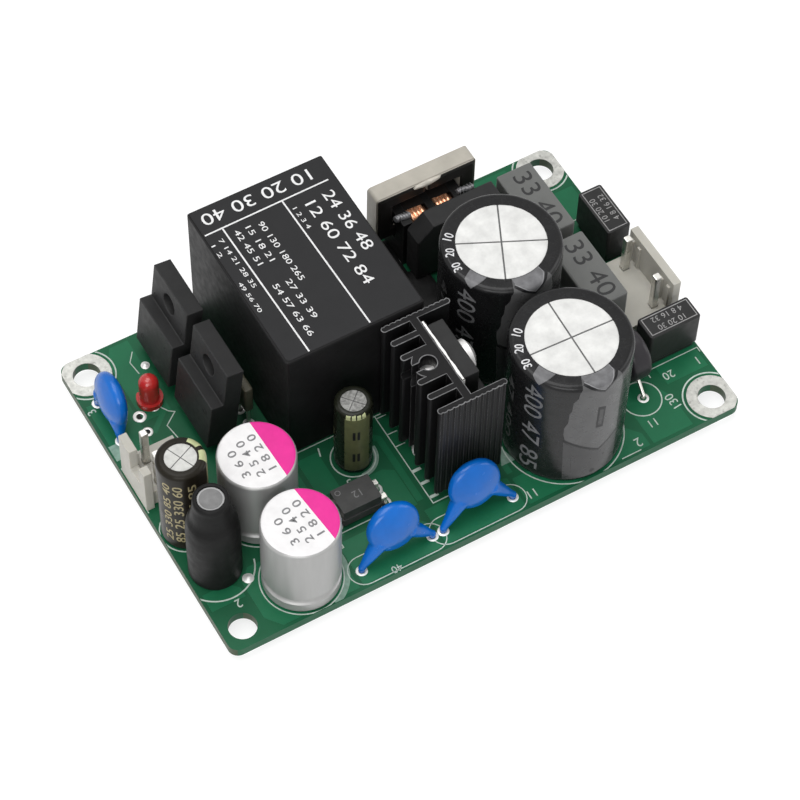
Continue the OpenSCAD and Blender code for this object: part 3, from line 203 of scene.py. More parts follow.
# patch is the scale of the colour's clouds; grain and ripple are height in millimetres and scale
looks = {
    "solderMask": {"colour": (0.0065, 0.084, 0.036), "vary": 0.16, "patch": 60, "rough": (0.34, 0.5),
                   "roughScale": 260, "grain": (0.012, 1800), "shine": 0.17,
                   "side": ("X", (0.05, 0.075, 0.04))},
    "maskOverCopper": {"colour": (0.01, 0.122, 0.054), "vary": 0.14, "patch": 120, "rough": (0.32, 0.46),
                       "grain": (0.014, 1500), "shine": 0.18},
    "silkWhite": {"colour": (0.46, 0.53, 0.48), "vary": 0.2, "patch": 900, "rough": (0.55, 0.7),
                  "grain": (0.008, 4000), "shine": 0.2},
    "silkPale": {"colour": (0.2, 0.31, 0.25), "vary": 0.25, "patch": 700, "rough": (0.5, 0.65),
                 "grain": (0.008, 4000), "shine": 0.2},
    "tin": {"colour": (0.66, 0.65, 0.61), "vary": 0.14, "patch": 800, "rough": (0.22, 0.42),
            "grain": (0.006, 2600), "metal": 1.0},
    "tinnedLand": {"colour": (0.46, 0.46, 0.43), "vary": 0.22, "patch": 1100, "rough": (0.26, 0.5),
                   "grain": (0.03, 900), "grainStrength": 1.0, "metal": 0.5,
                   "speck": ((0.22, 0.22, 0.2), 1300, 0.8)},
    "solder": {"colour": (0.74, 0.745, 0.73), "vary": 0.1, "patch": 700, "rough": (0.26, 0.46),
               "grain": (0.02, 1200), "metal": 0.55},
    "coverBlack": {"colour": (0.0075, 0.0072, 0.0075), "vary": 0.2, "patch": 180, "rough": (0.4, 0.55),
                   "grain": (0.012, 2200), "shine": 0.13, "edgeWearAndGlint": (0.25, (0.035, 0.035, 0.035), 0.5)},
    "labelFilm": {"colour": (0.023, 0.023, 0.024), "vary": 0.07, "patch": 120, "rough": (0.5, 0.6),
                  "grain": (0.006, 3200), "shine": 0.1},
    "labelRule": {"colour": (0.7, 0.7, 0.7), "vary": 0.08, "patch": 900, "rough": (0.5, 0.6),
                  "grain": (0.004, 4000), "shine": 0.2},
    "ferriteDark": {"colour": (0.02, 0.019, 0.018), "vary": 0.3, "patch": 500, "rough": (0.5, 0.7),
                    "grain": (0.02, 1800)},
    # the core's faces that look along y are painted near black: painted shade on its front, which the light
    # from above misses
    "chokeCore": {"colour": (0.4, 0.375, 0.325), "vary": 0.1, "patch": 260, "rough": (0.38, 0.55),
                  "grain": (0.012, 1600), "shine": 0.4, "side": ("Y", (0.012, 0.011, 0.01)),
                  "edgeWearAndGlint": (0.3, (0.26, 0.24, 0.21), 0.5)},
    "chokeSkin": {"colour": (0.4, 0.375, 0.325), "vary": 0.1, "patch": 260, "rough": (0.36, 0.52),
                  "grain": (0.012, 1600), "shine": 0.4, "edgeWearAndGlint": (0.3, (0.24, 0.22, 0.19), 0.5)},
    "inductorCore": {"colour": (0.17, 0.17, 0.17), "vary": 0.16, "patch": 900, "rough": (0.45, 0.62),
                     "grain": (0.02, 2600), "shine": 0.3},
    "inductorRim": {"colour": (0.36, 0.36, 0.36), "vary": 0.12, "patch": 700, "rough": (0.35, 0.5),
                    "grain": (0.02, 2600), "shine": 0.35},
    "bobbinBlack": {"colour": (0.01, 0.01, 0.01), "vary": 0.2, "patch": 300, "rough": (0.34, 0.5),
                    "grain": (0.015, 1800), "shine": 0.2, "edgeWearAndGlint": (0.2, (0.05, 0.05, 0.05), 0.6)},
    "copperWire": {"colour": (0.86, 0.43, 0.25), "vary": 0.22, "patch": 700, "rough": (0.2, 0.36),
                   "grain": (0.006, 2500), "metal": 0.75, "coat": 0.4,
                   "speck": ((0.26, 0.09, 0.04), 500, 1.0)},
    # dark copper under the choke's outer turns: painted shade between the turns; also on the hidden windings
    "copperInShade": {"colour": (0.1, 0.04, 0.018), "vary": 0.3, "patch": 500, "rough": (0.35, 0.5),
                   "grain": (0.02, 1500), "metal": 0.6},
    "aluminium": {"colour": (0.36, 0.36, 0.355), "vary": 0.06, "patch": 500, "rough": (0.34, 0.48),
                  "grain": (0.005, 2600), "shine": 0.3, "metal": 0.45, "stretch": (1.0, 1.0, 0.12)},
    "lidMetal": {"colour": (0.66, 0.66, 0.645), "vary": 0.13, "patch": 480, "rough": (0.42, 0.58),
                 "grain": (0.012, 1500), "shine": 0.15},
    "lidDull": {"colour": (0.46, 0.46, 0.44), "vary": 0.14, "patch": 1100, "rough": (0.4, 0.56),
                "grain": (0.02, 1500), "shine": 0.3, "metal": 0.3},
    "lidRough": {"colour": (0.24, 0.24, 0.23), "vary": 0.5, "patch": 2200, "rough": (0.36, 0.56),
                 "grain": (0.06, 1800), "shine": 0.3, "metal": 0.4},
    # dark plate under the lid's score lines: painted shade in the grooves
    "lidGrooveShade": {"colour": (0.1, 0.1, 0.1), "vary": 0.2, "patch": 900, "rough": (0.5, 0.7),
                  "grain": (0.01, 2000), "metal": 0.3},
    "sleeveBlack": {"colour": (0.0085, 0.0085, 0.009), "vary": 0.15, "patch": 220, "rough": (0.2, 0.32),
                    "grain": (0.006, 2200), "shine": 0.22, "ripple": (0.05, 260)},
    "sleeveBrown": {"colour": (0.013, 0.011, 0.0075), "vary": 0.2, "patch": 400, "rough": (0.26, 0.38),
                    "grain": (0.006, 2200), "shine": 0.12, "ripple": (0.03, 420)},
    "sleeveOlive": {"colour": (0.009, 0.01, 0.006), "vary": 0.2, "patch": 400, "rough": (0.22, 0.34),
                    "grain": (0.006, 2200), "shine": 0.18, "ripple": (0.04, 420)},
    "shrinkTube": {"colour": (0.009, 0.009, 0.009), "vary": 0.18, "patch": 300, "rough": (0.4, 0.55),
                   "grain": (0.012, 2000), "shine": 0.1, "ripple": (0.04, 330)},
    "printGrey": {"colour": (0.085, 0.085, 0.086), "vary": 0.12, "patch": 380, "rough": (0.24, 0.36),
                  "grain": (0.006, 2400), "shine": 0.2},
    "printMid": {"colour": (0.145, 0.145, 0.15), "vary": 0.3, "patch": 700, "rough": (0.26, 0.4),
                 "grain": (0.008, 2400), "shine": 0.2},
    "printPale": {"colour": (0.26, 0.26, 0.27), "vary": 0.16, "patch": 600, "rough": (0.26, 0.4),
                  "grain": (0.008, 2400), "shine": 0.2},
    "printDim": {"colour": (0.046, 0.046, 0.047), "vary": 0.12, "patch": 380, "rough": (0.24, 0.36),
                 "grain": (0.006, 2400), "shine": 0.2},
    "printWhite": {"colour": (0.62, 0.62, 0.63), "vary": 0.12, "patch": 900, "rough": (0.3, 0.45),
                   "grain": (0.006, 2600), "shine": 0.22},
    "printDark": {"colour": (0.008, 0.008, 0.009), "vary": 0.15, "patch": 600, "rough": (0.28, 0.4),
                  "grain": (0.006, 2400), "shine": 0.2},
    "printGold": {"colour": (0.34, 0.295, 0.165), "vary": 0.2, "patch": 900, "rough": (0.4, 0.55),
                  "grain": (0.006, 3000), "shine": 0.25, "metal": 0.1},
    "printLime": {"colour": (0.42, 0.45, 0.24), "vary": 0.16, "patch": 900, "rough": (0.4, 0.55),
                  "grain": (0.006, 3000), "shine": 0.3},
    "printOlive": {"colour": (0.085, 0.09, 0.04), "vary": 0.18, "patch": 700, "rough": (0.3, 0.45),
                   "grain": (0.006, 2600), "shine": 0.3},
    "topWhite": {"colour": (0.75, 0.74, 0.742), "vary": 0.06, "patch": 420, "rough": (0.45, 0.58),
                 "grain": (0.008, 2600), "shine": 0.12},
    "topPink": {"colour": (0.68, 0.028, 0.265), "vary": 0.06, "patch": 500, "rough": (0.45, 0.58),
                "grain": (0.005, 2600), "shine": 0.2},
    "topDigits": {"colour": (0.2, 0.2, 0.205), "vary": 0.25, "patch": 1200, "rough": (0.5, 0.6),
                  "grain": (0.004, 3000), "shine": 0.15},
    "bungRubber": {"colour": (0.012, 0.012, 0.012), "vary": 0.2, "patch": 500, "rough": (0.55, 0.7),
                   "grain": (0.02, 2200)},
    "blueCoat": {"colour": (0.001, 0.113, 0.46), "vary": 0.1, "patch": 240, "rough": (0.2, 0.28),
                 "grain": (0.006, 900), "shine": 0.34, "ripple": (0.05, 330)},
    "filmCase": {"colour": (0.135, 0.138, 0.133), "vary": 0.08, "patch": 300, "rough": (0.45, 0.58),
                 "grain": (0.016, 1700), "shine": 0.25, "edgeWearAndGlint": (0.25, (0.23, 0.23, 0.23), 0.6)},
    "filmDigits": {"colour": (0.034, 0.034, 0.035), "vary": 0.12, "patch": 900, "rough": (0.5, 0.62),
                   "grain": (0.008, 2600), "shine": 0.2},
    "snubberCase": {"colour": (0.085, 0.08, 0.056), "vary": 0.2, "patch": 700, "rough": (0.32, 0.45),
                    "grain": (0.012, 1700), "shine": 0.3, "edgeWearAndGlint": (0.3, (0.16, 0.155, 0.12), 0.8)},
    "fuseCase": {"colour": (0.017, 0.017, 0.017), "vary": 0.18, "patch": 320, "rough": (0.36, 0.5),
                 "grain": (0.014, 1800), "shine": 0.22, "edgeWearAndGlint": (0.22, (0.07, 0.07, 0.07), 0.6)},
    "fusePrint": {"colour": (0.27, 0.265, 0.265), "vary": 0.22, "patch": 1400, "rough": (0.5, 0.62),
                  "grain": (0.006, 3000), "shine": 0.25},
    "thermistorCoat": {"colour": (0.018, 0.016, 0.019), "vary": 0.2, "patch": 320, "rough": (0.28, 0.42),
                       "grain": (0.014, 1200), "shine": 0.3, "ripple": (0.05, 380),
                       "edgeWearAndGlint": (0.4, (0.1, 0.1, 0.1), 0.5)},
    "nylon": {"colour": (0.44, 0.427, 0.383), "vary": 0.05, "patch": 220, "rough": (0.38, 0.52),
              "grain": (0.01, 1700), "shine": 0.25, "glow": 0.2},
    "ledRed": {"colour": (0.62, 0.035, 0.032), "vary": 0.08, "patch": 400, "rough": (0.14, 0.26),
               "grain": (0.004, 1400), "clear": 0.3},
    # the lighter edges of the packages are a painted highlight along their edges, with some wear
    "package": {"colour": (0.017, 0.017, 0.0172), "vary": 0.14, "patch": 300, "rough": (0.44, 0.58),
                "grain": (0.018, 2300), "shine": 0.2, "edgeWearAndGlint": (0.2, (0.085, 0.085, 0.085), 0.7)},
    "packageGrey": {"colour": (0.042, 0.042, 0.041), "vary": 0.2, "patch": 500, "rough": (0.44, 0.58),
                    "grain": (0.02, 2300), "shine": 0.25, "edgeWearAndGlint": (0.15, (0.09, 0.09, 0.09), 0.6)},
    "packageMark": {"colour": (0.007, 0.007, 0.007), "vary": 0.2, "patch": 900, "rough": (0.32, 0.45),
                    "grain": (0.01, 2600), "shine": 0.2},
    "printFaint": {"colour": (0.15, 0.15, 0.15), "vary": 0.2, "patch": 1200, "rough": (0.5, 0.62),
                   "grain": (0.006, 3000), "shine": 0.2},
    # the pale edges of the heat sink are a painted highlight along the fin edges
    "anodised": {"colour": (0.0072, 0.007, 0.0074), "vary": 0.16, "patch": 260, "rough": (0.36, 0.5),
                 "grain": (0.012, 1900), "shine": 0.12, "stretch": (1.0, 1.0, 0.06),
                 "edgeWearAndGlint": (0.14, (0.22, 0.22, 0.225), 0.85)},
    # pale beads on the heat sink's top edges: a painted highlight
    "sinkEdgeHighlight": {"colour": (0.15, 0.15, 0.153), "vary": 0.5, "patch": 900, "rough": (0.3, 0.45),
                 "grain": (0.006, 2400), "shine": 0.35},
    "screwSteel": {"colour": (0.8, 0.79, 0.78), "vary": 0.08, "patch": 700, "rough": (0.3, 0.45),
                   "grain": (0.006, 2400), "metal": 0.6},
    "padTin": {"colour": (0.8, 0.8, 0.78), "vary": 0.12, "patch": 900, "rough": (0.3, 0.5),
               "grain": (0.02, 1600), "metal": 0.3},
    # dark disc in the empty holes: painted shade
    "holeShade": {"colour": (0.012, 0.014, 0.012), "vary": 0.3, "patch": 900, "rough": (0.5, 0.7),
                 "grain": (0.01, 2000), "shine": 0.2},
    "glue": {"colour": (0.52, 0.49, 0.43), "vary": 0.14, "patch": 700, "rough": (0.35, 0.5),
             "grain": (0.03, 1500), "shine": 0.35},
    "wireTin": {"colour": (0.3, 0.3, 0.31), "vary": 0.3, "patch": 900, "rough": (0.28, 0.45),
                "grain": (0.02, 1600), "metal": 0.4},
    # near-black sheet on the board in the pit by the bridge: painted shade
    "pitShadeBlack": {"colour": (0.009, 0.009, 0.009), "vary": 0.25, "patch": 300, "rough": (0.42, 0.6),
                  "grain": (0.03, 1300), "shine": 0.15},
    # dark tape over the turns, and a near-black sheet of painted shade in the choke core's window
    "tapeAndShadeDark": {"colour": (0.01, 0.008, 0.007), "vary": 0.3, "patch": 500, "rough": (0.5, 0.7),
                 "grain": (0.02, 1800), "shine": 0.15},
    "padWhite": {"colour": (0.8, 0.8, 0.78), "vary": 0.06, "patch": 600, "rough": (0.55, 0.7),
                 "grain": (0.015, 1900)},
}
finishes = {name: makeFinish(name, look) for name, look in looks.items()}
print("finishes made:", len(finishes))

# CAD nodes by their finish
cadFinish = {
    "solderMask": "circuit_board",
    "tinnedLand": "mounting_lands",
    "solder": "solder_joints",
    "coverBlack": "transformer_cover",
    "ferriteDark": "transformer_core_lower transformer_core_upper",
    "bobbinBlack": "transformer_bobbin choke_bobbin",
    "copperInShade": "primary_winding secondary_winding inductor_winding",
    "tin": "transformer_pins choke_pins capacitor_leads inductor_leads wire_leads inlet_pins output_pins "
           "package_leads heat_sink_pin",
    "chokeCore": "choke_core_left choke_core_right",
    "copperWire": "choke_winding_left choke_winding_right",
    "aluminium": "bulk_can_1 bulk_can_2 polymer_can_1 polymer_can_2 output_filter_can supply_filter_can",
    "sleeveBlack": "bulk_sleeve_1 bulk_sleeve_2",
    "sleeveBrown": "output_filter_sleeve",
    "sleeveOlive": "supply_filter_sleeve",
    "bungRubber": "capacitor_bungs",
    "inductorCore": "inductor_core",
    "shrinkTube": "inductor_sleeve",
    "blueCoat": "safety_capacitor_1 safety_capacitor_2 safety_capacitor_3",
    "filmCase": "film_capacitor_1 film_capacitor_2",
    "snubberCase": "snubber_capacitor",
    "fuseCase": "fuse_1 fuse_2",
    "thermistorCoat": "thermistor",
    "nylon": "inlet_header output_header",
    "ledRed": "led_lens",
    "package": "rectifier_1 rectifier_2 transistor bridge_rectifier controller_chip",
    "anodised": "heat_sink",
    "screwSteel": "heat_sink_screw",
    "padWhite": "thermal_pad",
    "packageGrey": "optocoupler",
}
for finishName, names in cadFinish.items():
    for name in names.split():
        cadNodes[name].material_slots[0].material = finishes[finishName]

# moulded and cut edges are never sharp: width of the rounding in millimetres, and the nodes that have it
edgeWidth = {
    0.55: "choke_core_left choke_core_right",
    0.35: "transformer_cover",
    0.3: "film_capacitor_1 film_capacitor_2 snubber_capacitor",
    0.25: "fuse_1 fuse_2 bridge_rectifier",
    0.2: "rectifier_1 rectifier_2 transistor",
    0.18: "inlet_pins output_pins",
    0.15: "choke_bobbin",
    0.14: "inlet_header output_header",
    0.1: "optocoupler heat_sink",
    0.08: "thermal_pad",
}


def softenEdges(node, width):
    weld = node.modifiers.new("weld", "WELD")
    weld.merge_threshold = 0.002 * mm
    flat = node.modifiers.new("flat", "DECIMATE")
    flat.decimate_type = "DISSOLVE"
    flat.angle_limit = math.radians(0.5)
    soft = node.modifiers.new("soft", "BEVEL")
    soft.width = width * mm
    soft.segments = 2
    soft.limit_method = "ANGLE"
    soft.angle_limit = math.radians(50)
    soft.use_clamp_overlap = True


for width, names in edgeWidth.items():
    for name in names.split():
        softenEdges(cadNodes[name], width)
print("CAD nodes dressed:", sum(len(names.split()) for names in cadFinish.values()))


# drawing helpers, in millimetres

def newPiece(name, form, finishNames, stands=(), sharp=40):
    bmesh.ops.recalc_face_normals(form, faces=form.faces)
    form.transform(Matrix.Scale(mm, 4))
    mesh = bpy.data.meshes.new(name)
    form.to_mesh(mesh)
    form.free()
    for finishName in finishNames:
        mesh.materials.append(finishes[finishName])
    mesh.polygons.foreach_set("use_smooth", [True] * len(mesh.polygons))
    mesh.set_sharp_from_angle(angle=math.radians(sharp))
    piece = bpy.data.objects.new(name, mesh)
    scene.collection.objects.link(piece)
    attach(piece, "root")
    if stands:
        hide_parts(*stands)
    return piece


def placed(x, y, turn=0.0):
    return Matrix.Translation((x, y, 0)) @ Matrix.Rotation(math.radians(turn), 4, "Z")


standUp = Matrix(((1, 0, 0, 0), (0, 0, 1, 0), (0, 1, 0, 0), (0, 0, 0, 1)))  # drawn in x and z, thick along y


def addForm(form, other):
    mesh = bpy.data.meshes.new("part")
    other.to_mesh(mesh)
    other.free()
    form.from_mesh(mesh)
    bpy.data.meshes.remove(mesh)


def addSlab(form, outline, low, high, finish=0):
    # a flat shape with a thickness, from its outline
    under = [form.verts.new((x, y, low)) for x, y in outline]
    over = [form.verts.new((x, y, high)) for x, y in outline]
    made = [form.faces.new(over), form.faces.new(under[::-1])]
    for i in range(len(outline)):
        j = (i + 1) % len(outline)
        made.append(form.faces.new((under[i], under[j], over[j], over[i])))
    for face in made:
        face.material_index = finish
    return made[0]


def addRibbon(form, points, width, low, high, closed=False, finish=0):
    # a printed line of even width along the points
    points = [Vector(p) for p in points]
    count = len(points)
    left, right = [], []
    for i, p in enumerate(points):
        ways = []
        if closed or i > 0:
            ways.append((p - points[i - 1]).normalized())
        if closed or i < count - 1:
            ways.append((points[(i + 1) % count] - p).normalized())
        way = sum(ways, Vector((0, 0))).normalized()
        across = Vector((-way.y, way.x))
        mitre = max(0.4, across.dot(Vector((-ways[0].y, ways[0].x))))  # no long spike at a sharp bend
        reach = width / 2 / mitre
        left.append(p + across * reach)
        right.append(p - across * reach)
    sides = ((left, high), (right, high), (left, low), (right, low))
    rows = [[form.verts.new((q.x, q.y, z)) for q in side] for side, z in sides]
    for i in range(count if closed else count - 1):
        j = (i + 1) % count
        for a, b in ((0, 1), (3, 2), (2, 0), (1, 3)):
            form.faces.new((rows[a][i], rows[a][j], rows[b][j], rows[b][i])).material_index = finish
    if not closed:
        for i in (0, count - 1):
            form.faces.new((rows[0][i], rows[1][i], rows[3][i], rows[2][i])).material_index = finish


def arc(x, y, r, start, end, steps=24):
    angles = [math.radians(start + (end - start) * i / steps) for i in range(steps + 1)]
    return [(x + r * math.cos(a), y + r * math.sin(a)) for a in angles]


def circle(x, y, r, steps=48):
    return arc(x, y, r, 0, 360 * (steps - 1) / steps, steps - 1)


def pill(x, y, length, width, steps=12):
    half = length / 2 - width / 2
    return arc(x + half, y, width / 2, -90, 90, steps) + arc(x - half, y, width / 2, 90, 270, steps)


def rectangle(x0, y0, x1, y1):
    return [(x0, y0), (x1, y0), (x1, y1), (x0, y1)]


def roundedTop(x0, x1, foot, top, r, steps=8):
    # outline of an upright form with two rounded upper corners, from the right foot to the left one
    upper = arc(x1 - r, top - r, r, 0, 90, steps) + arc(x0 + r, top - r, r, 90, 180, steps)
    return [(x1, foot)] + upper + [(x0, foot)]


def bakedForm(holder):
    # a shape with its modifiers applied, as a form to draw on; the holder is removed
    scene.collection.objects.link(holder)
    mesh = bpy.data.meshes.new_from_object(holder.evaluated_get(bpy.context.evaluated_depsgraph_get()))
    bpy.data.objects.remove(holder)
    form = bmesh.new()
    form.from_mesh(mesh)
    bpy.data.meshes.remove(mesh)
    return form


def addDigits(form, text, size, x, y, turn, low, high, finish=0, wide=1.0, length=None, bold=0.0):
    # plain numbers, as flat shapes with a thickness
    curve = bpy.data.curves.new("digits", "FONT")
    curve.body = text
    curve.size = size
    curve.align_x = "CENTER"
    curve.align_y = "CENTER"
    curve.resolution_u = 4
    curve.space_character = wide
    curve.offset = bold
    flat = bakedForm(bpy.data.objects.new("digits", curve))
    bpy.data.curves.remove(curve)
    bmesh.ops.remove_doubles(flat, verts=flat.verts, dist=size * 0.002)
    reach = [v.co.x for v in flat.verts]
    fit = length / (max(reach) - min(reach)) if length else 1.0
    for vert in flat.verts:
        vert.co = (vert.co.x * fit, vert.co.y, low)
    grown = bmesh.ops.extrude_face_region(flat, geom=flat.faces[:])
    for item in grown["geom"]:
        if isinstance(item, bmesh.types.BMVert):
            item.co.z = high
    for face in flat.faces:
        face.material_index = finish
    flat.transform(placed(x, y, turn))
    addForm(form, flat)


def addLathe(form, profile, x, y, steps=128, shape=None, closed=True, finish=0):
    # a turned form from (radius, height) points; shape(angle, radius, height) moves each point a little
    rings = []
    for r, z in profile:
        if r < 1e-6:  # a point on the axis
            rings.append([form.verts.new((x, y, z))] * steps)
            continue
        ring = []
        for i in range(steps):
            angle = 2 * math.pi * i / steps
            rr, zz = shape(angle, r, z) if shape else (r, z)
            ring.append(form.verts.new((x + rr * math.cos(angle), y + rr * math.sin(angle), zz)))
        rings.append(ring)
    count = len(rings)
    for k in range(count if closed else count - 1):
        first, second = rings[k], rings[(k + 1) % count]
        for i in range(steps):
            j = (i + 1) % steps
            around = list(dict.fromkeys((first[i], first[j], second[j], second[i])))  # each point once
            if len(around) > 2:
                form.faces.new(around).material_index = finish


def plate(r, low, high):
    # profile of a flat round plate
    return [(0, high), (r, high), (r, low), (0, low)]


def cutForm(form, at, way, clear=False):
    everything = form.verts[:] + form.edges[:] + form.faces[:]
    return bmesh.ops.bisect_plane(form, geom=everything, plane_co=at, plane_no=way, dist=1e-5,
                                  clear_outer=clear)


def along(axis, side=1):
    return Vector(side if i == axis else 0 for i in range(3))


def sliceForm(form, axis, step, start=-1000.0):
    # cuts long faces, so that a flat print can follow a curve
    reach = [v.co[axis] for v in form.verts]
    at = max(min(reach), start) + step
    while at < max(reach):
        cutForm(form, along(axis) * at, along(axis))
        at += step


def tube(form, points, radius, sides=10, closed=False):
    # round wire along a path
    points = [Vector(p) for p in points]
    count = len(points)
    angles = [2 * math.pi * k / sides for k in range(sides)]
    rings = []
    across = None
    for i, p in enumerate(points):
        ahead = points[(i + 1) % count] if (closed or i < count - 1) else p
        behind = points[i - 1] if (closed or i > 0) else p
        way = (ahead - behind).normalized()
        if across is None:
            across = way.orthogonal().normalized()
        across = (across - way * across.dot(way)).normalized()
        other = way.cross(across)
        spokes = [across * math.cos(a) + other * math.sin(a) for a in angles]
        rings.append([form.verts.new(p + spoke * radius) for spoke in spokes])
    for i in range(count if closed else count - 1):
        first, second = rings[i], rings[(i + 1) % count]
        for k in range(sides):
            m = (k + 1) % sides
            form.faces.new((first[k], first[m], second[m], second[k]))
    if not closed:
        form.faces.new(rings[0][::-1])
        form.faces.new(rings[-1])


def roundNoise(angle, scale, height):
    # noise that closes round a turned form
    return noise.noise((math.cos(angle) * scale, math.sin(angle) * scale, height))


def cadSolid(name):
    # a copy of a CAD node to measure, with its seams joined
    solid = bmesh.new()
    solid.from_mesh(cadNodes[name].data)
    bmesh.ops.remove_doubles(solid, verts=solid.verts[:], dist=1e-6)
    return solid


def islands(name):
    # centre and size of each separate solid of a CAD node
    solid = cadSolid(name)
    left, found = set(solid.verts), []
    while left:
        points, queue = [], [left.pop()]
        while queue:
            vert = queue.pop()
            points.append(vert.co / mm)
            near = {edge.other_vert(vert) for edge in vert.link_edges} & left
            left -= near
            queue += near
        low = Vector(min(p[i] for p in points) for i in range(3))
        high = Vector(max(p[i] for p in points) for i in range(3))
        found.append(((low + high) / 2, high - low))
    solid.free()
    return sorted(found, key=lambda f: tuple(f[0]))


# board: copper under the mask, print, pads

copperAreas = {
    "areaLift": 0.021, "lineLift": 0.01575,  # height of the mask over copper
    "areas": [
        [(-34.2, -26.9), (-21.9, -26.9), (-21.9, -19.6), (-24.2, -16.2), (-34.2, -16.2), (-36.0, -18.2),
         (-36.0, -24.6)], [(-41.9, -20.2), (-36.6, -20.2), (-36.6, -18.6), (-38.0, -17.2), (-41.9, -17.2)],
        [(-21.2, -26.9), (-8.3, -26.9), (-8.3, -22.2), (-11.4, -19.2), (-21.2, -19.2)],
        [(-7.6, -26.9), (5.6, -26.9), (5.6, -21.6), (3.2, -20.4), (-7.6, -20.4)],
        [(6.2, -26.9), (26.8, -26.9), (26.8, -24.6), (24.6, -22.0), (6.2, -22.0)],
        [(27.4, -26.9), (34.2, -26.9), (34.2, -21.2), (31.8, -16.4), (27.4, -16.4)],
        rectangle(34.8, -19.2, 41.9, -10.2),
        [(33.9, 13.2), (41.9, 13.2), (41.9, 19.2), (35.6, 19.2), (33.9, 17.6)],
        rectangle(26.6, 19.4, 34.4, 26.9), rectangle(-41.9, 8.0, -36.2, 19.2),
        [(-35.6, 12.8), (-31.2, 12.8), (-31.2, 26.9), (-34.2, 26.9), (-35.6, 24.6)],
        rectangle(-22.2, -17.8, -20.4, -3.4),
        [(-11.9, -19.0), (-7.9, -19.0), (-7.9, -12.4), (-9.4, -11.4), (-11.9, -11.4)],
        rectangle(-19.6, -11.2, -16.2, -4.2),
    ],
    "lines": [  # points and width
        ([(-9.2, -4.6), (-7.2, -6.6), (-7.2, -18.6)], 1.0), ([(-19.8, -12.0), (-20.0, -18.4)], 0.7),
        ([(-35.2, 10.4), (-32.4, 13.0), (-32.4, 18.8)], 0.8), ([(6.4, -4.0), (6.4, -21.0)], 0.9),
    ],
}


def buildCopper():
    c = copperAreas
    form = bmesh.new()
    for outline in c["areas"]:
        addSlab(form, outline, boardBed, boardTop + c["areaLift"])
    for points, width in c["lines"]:
        addRibbon(form, points, width, boardBed, boardTop + c["lineLift"])
    newPiece("copper_under_mask", form, ["maskOverCopper"])


def keepOnBoard(form, margin=0.12):
    # trims what would hang over the board's edge
    for axis, side, corner in ((0, 1, boardHigh), (0, -1, boardLow), (1, 1, boardHigh), (1, -1, boardLow)):
        way = along(axis, side)
        cut = cutForm(form, way * (corner[axis] * side - margin), way, True)
        rim = [e for e in cut["geom_cut"] if isinstance(e, bmesh.types.BMEdge)]
        if rim:
            bmesh.ops.holes_fill(form, edges=rim)


boardPrint = {
    "lift": 0.03, "fillLift": 0.024,  # height of the print over the board
    "line": 0.15, "circleLine": 0.1875, "arcLine": 0.225, "barLine": 0.48,  # widths of printed lines
    "circles": [  # x, y, radius
        (16.74, -18.355, 9.25), (16.74, 0.63, 9.25), (-28.26, -8.79, 6.05), (-28.26, -21.39, 6.05),
        (-38.7, -6.32, 3.85), (-12.09, -7.56, 3.3), (30.0, -19.5, 3.0),
    ],
    "arcs": [  # x, y, radius, start and end in degrees
        (-38.1, -14.0, 5.6, 150, 345), (39.24, 24.24, 4.3, 110, 345), (39.24, -24.24, 4.3, 15, 250),
        (-39.24, 24.24, 4.3, 200, 430),
    ],
    "pills": [(-14.56, -24.75, 15.6, 4.7), (-1.16, -24.75, 15.6, 4.7)],  # x, y, length, width
    "lines": [
        [(-5.85, -3.0), (-5.85, -19.95), (-3.3, -19.95)], [(-5.85, -3.4), (-4.2, -3.4)],
        [(-5.85, -6.6), (-4.2, -6.6)], [(-5.85, -9.0), (-4.2, -9.0)], [(-19.9, -2.9), (2.1, -2.9)],
        [(-19.9, -2.9), (-19.9, -4.0)], [(33.2, -15.75), (42.2, -15.75), (42.2, -16.6)],
        [(33.2, -15.75), (33.2, -17.0)], [(-31.5, 24.7), (-32.7, 23.1), (-32.4, 20.7)],
        [(-32.6, 14.3), (-31.7, 12.8), (-30.9, 12.2), (-33.0, 10.6), (-32.6, 7.9)],
        [(-33.4, 8.3), (-34.6, 8.2)], [(-42.2, -1.4), (-42.2, 7.2), (-33.6, 7.2), (-33.6, -1.4)],
        rectangle(-20.6, -17.9, -11.2, -12.4), [(21.9, -26.95), (25.2, -26.95)],
        [(34.0, 24.6), (35.4, 20.2)], [(33.0, 2.6), (42.2, 2.6)], [(36.0, 13.3), (42.2, 13.3)],
    ],
    "bars": [
        [(-5.85, -13.9), (-4.4, -13.9)], [(-5.85, -16.3), (-4.4, -16.3)], [(-5.85, -18.9), (-4.4, -18.9)],
    ],
    "digits": [  # text, size, x, y, turn
        ("1", 2.2, -15.9, -4.3, 165), ("3", 2.0, -14.6, -11.1, 180), ("2", 2.0, -38.0, -20.7, 180),
        ("11", 2.0, 7.4, -25.5, 180), ("40", 1.7, -15.8, -26.75, 180), ("11", 1.9, 29.2, -23.8, 180),
        ("2", 2.2, 25.5, -25.6, 180), ("20", 1.9, 35.8, -17.8, 180), ("130", 2.0, 33.9, -22.2, 96),
        ("1", 2.0, 41.0, -17.7, 180), ("3", 1.9, -41.5, 18.0, 100), ("1", 1.9, -36.9, 25.4, 180),
        ("5", 2.0, -20.9, -19.4, 180),
    ],
    # filled bands on the negative half of a round footprint: x, y, outer radius, start and end in degrees
    "halves": [(-28.26, -21.39, 6.9, -70, 15), (-28.26, -8.79, 6.9, -70, 15), (-12.09, -7.56, 3.75, -95, 5)],
    "band": 0.75,  # width of a band
    "patches": [[(7.4, -16.4), (8.3, -19.4), (5.95, -19.4)], rectangle(-42.2, 8.6, -40.3, 11.4)],
}


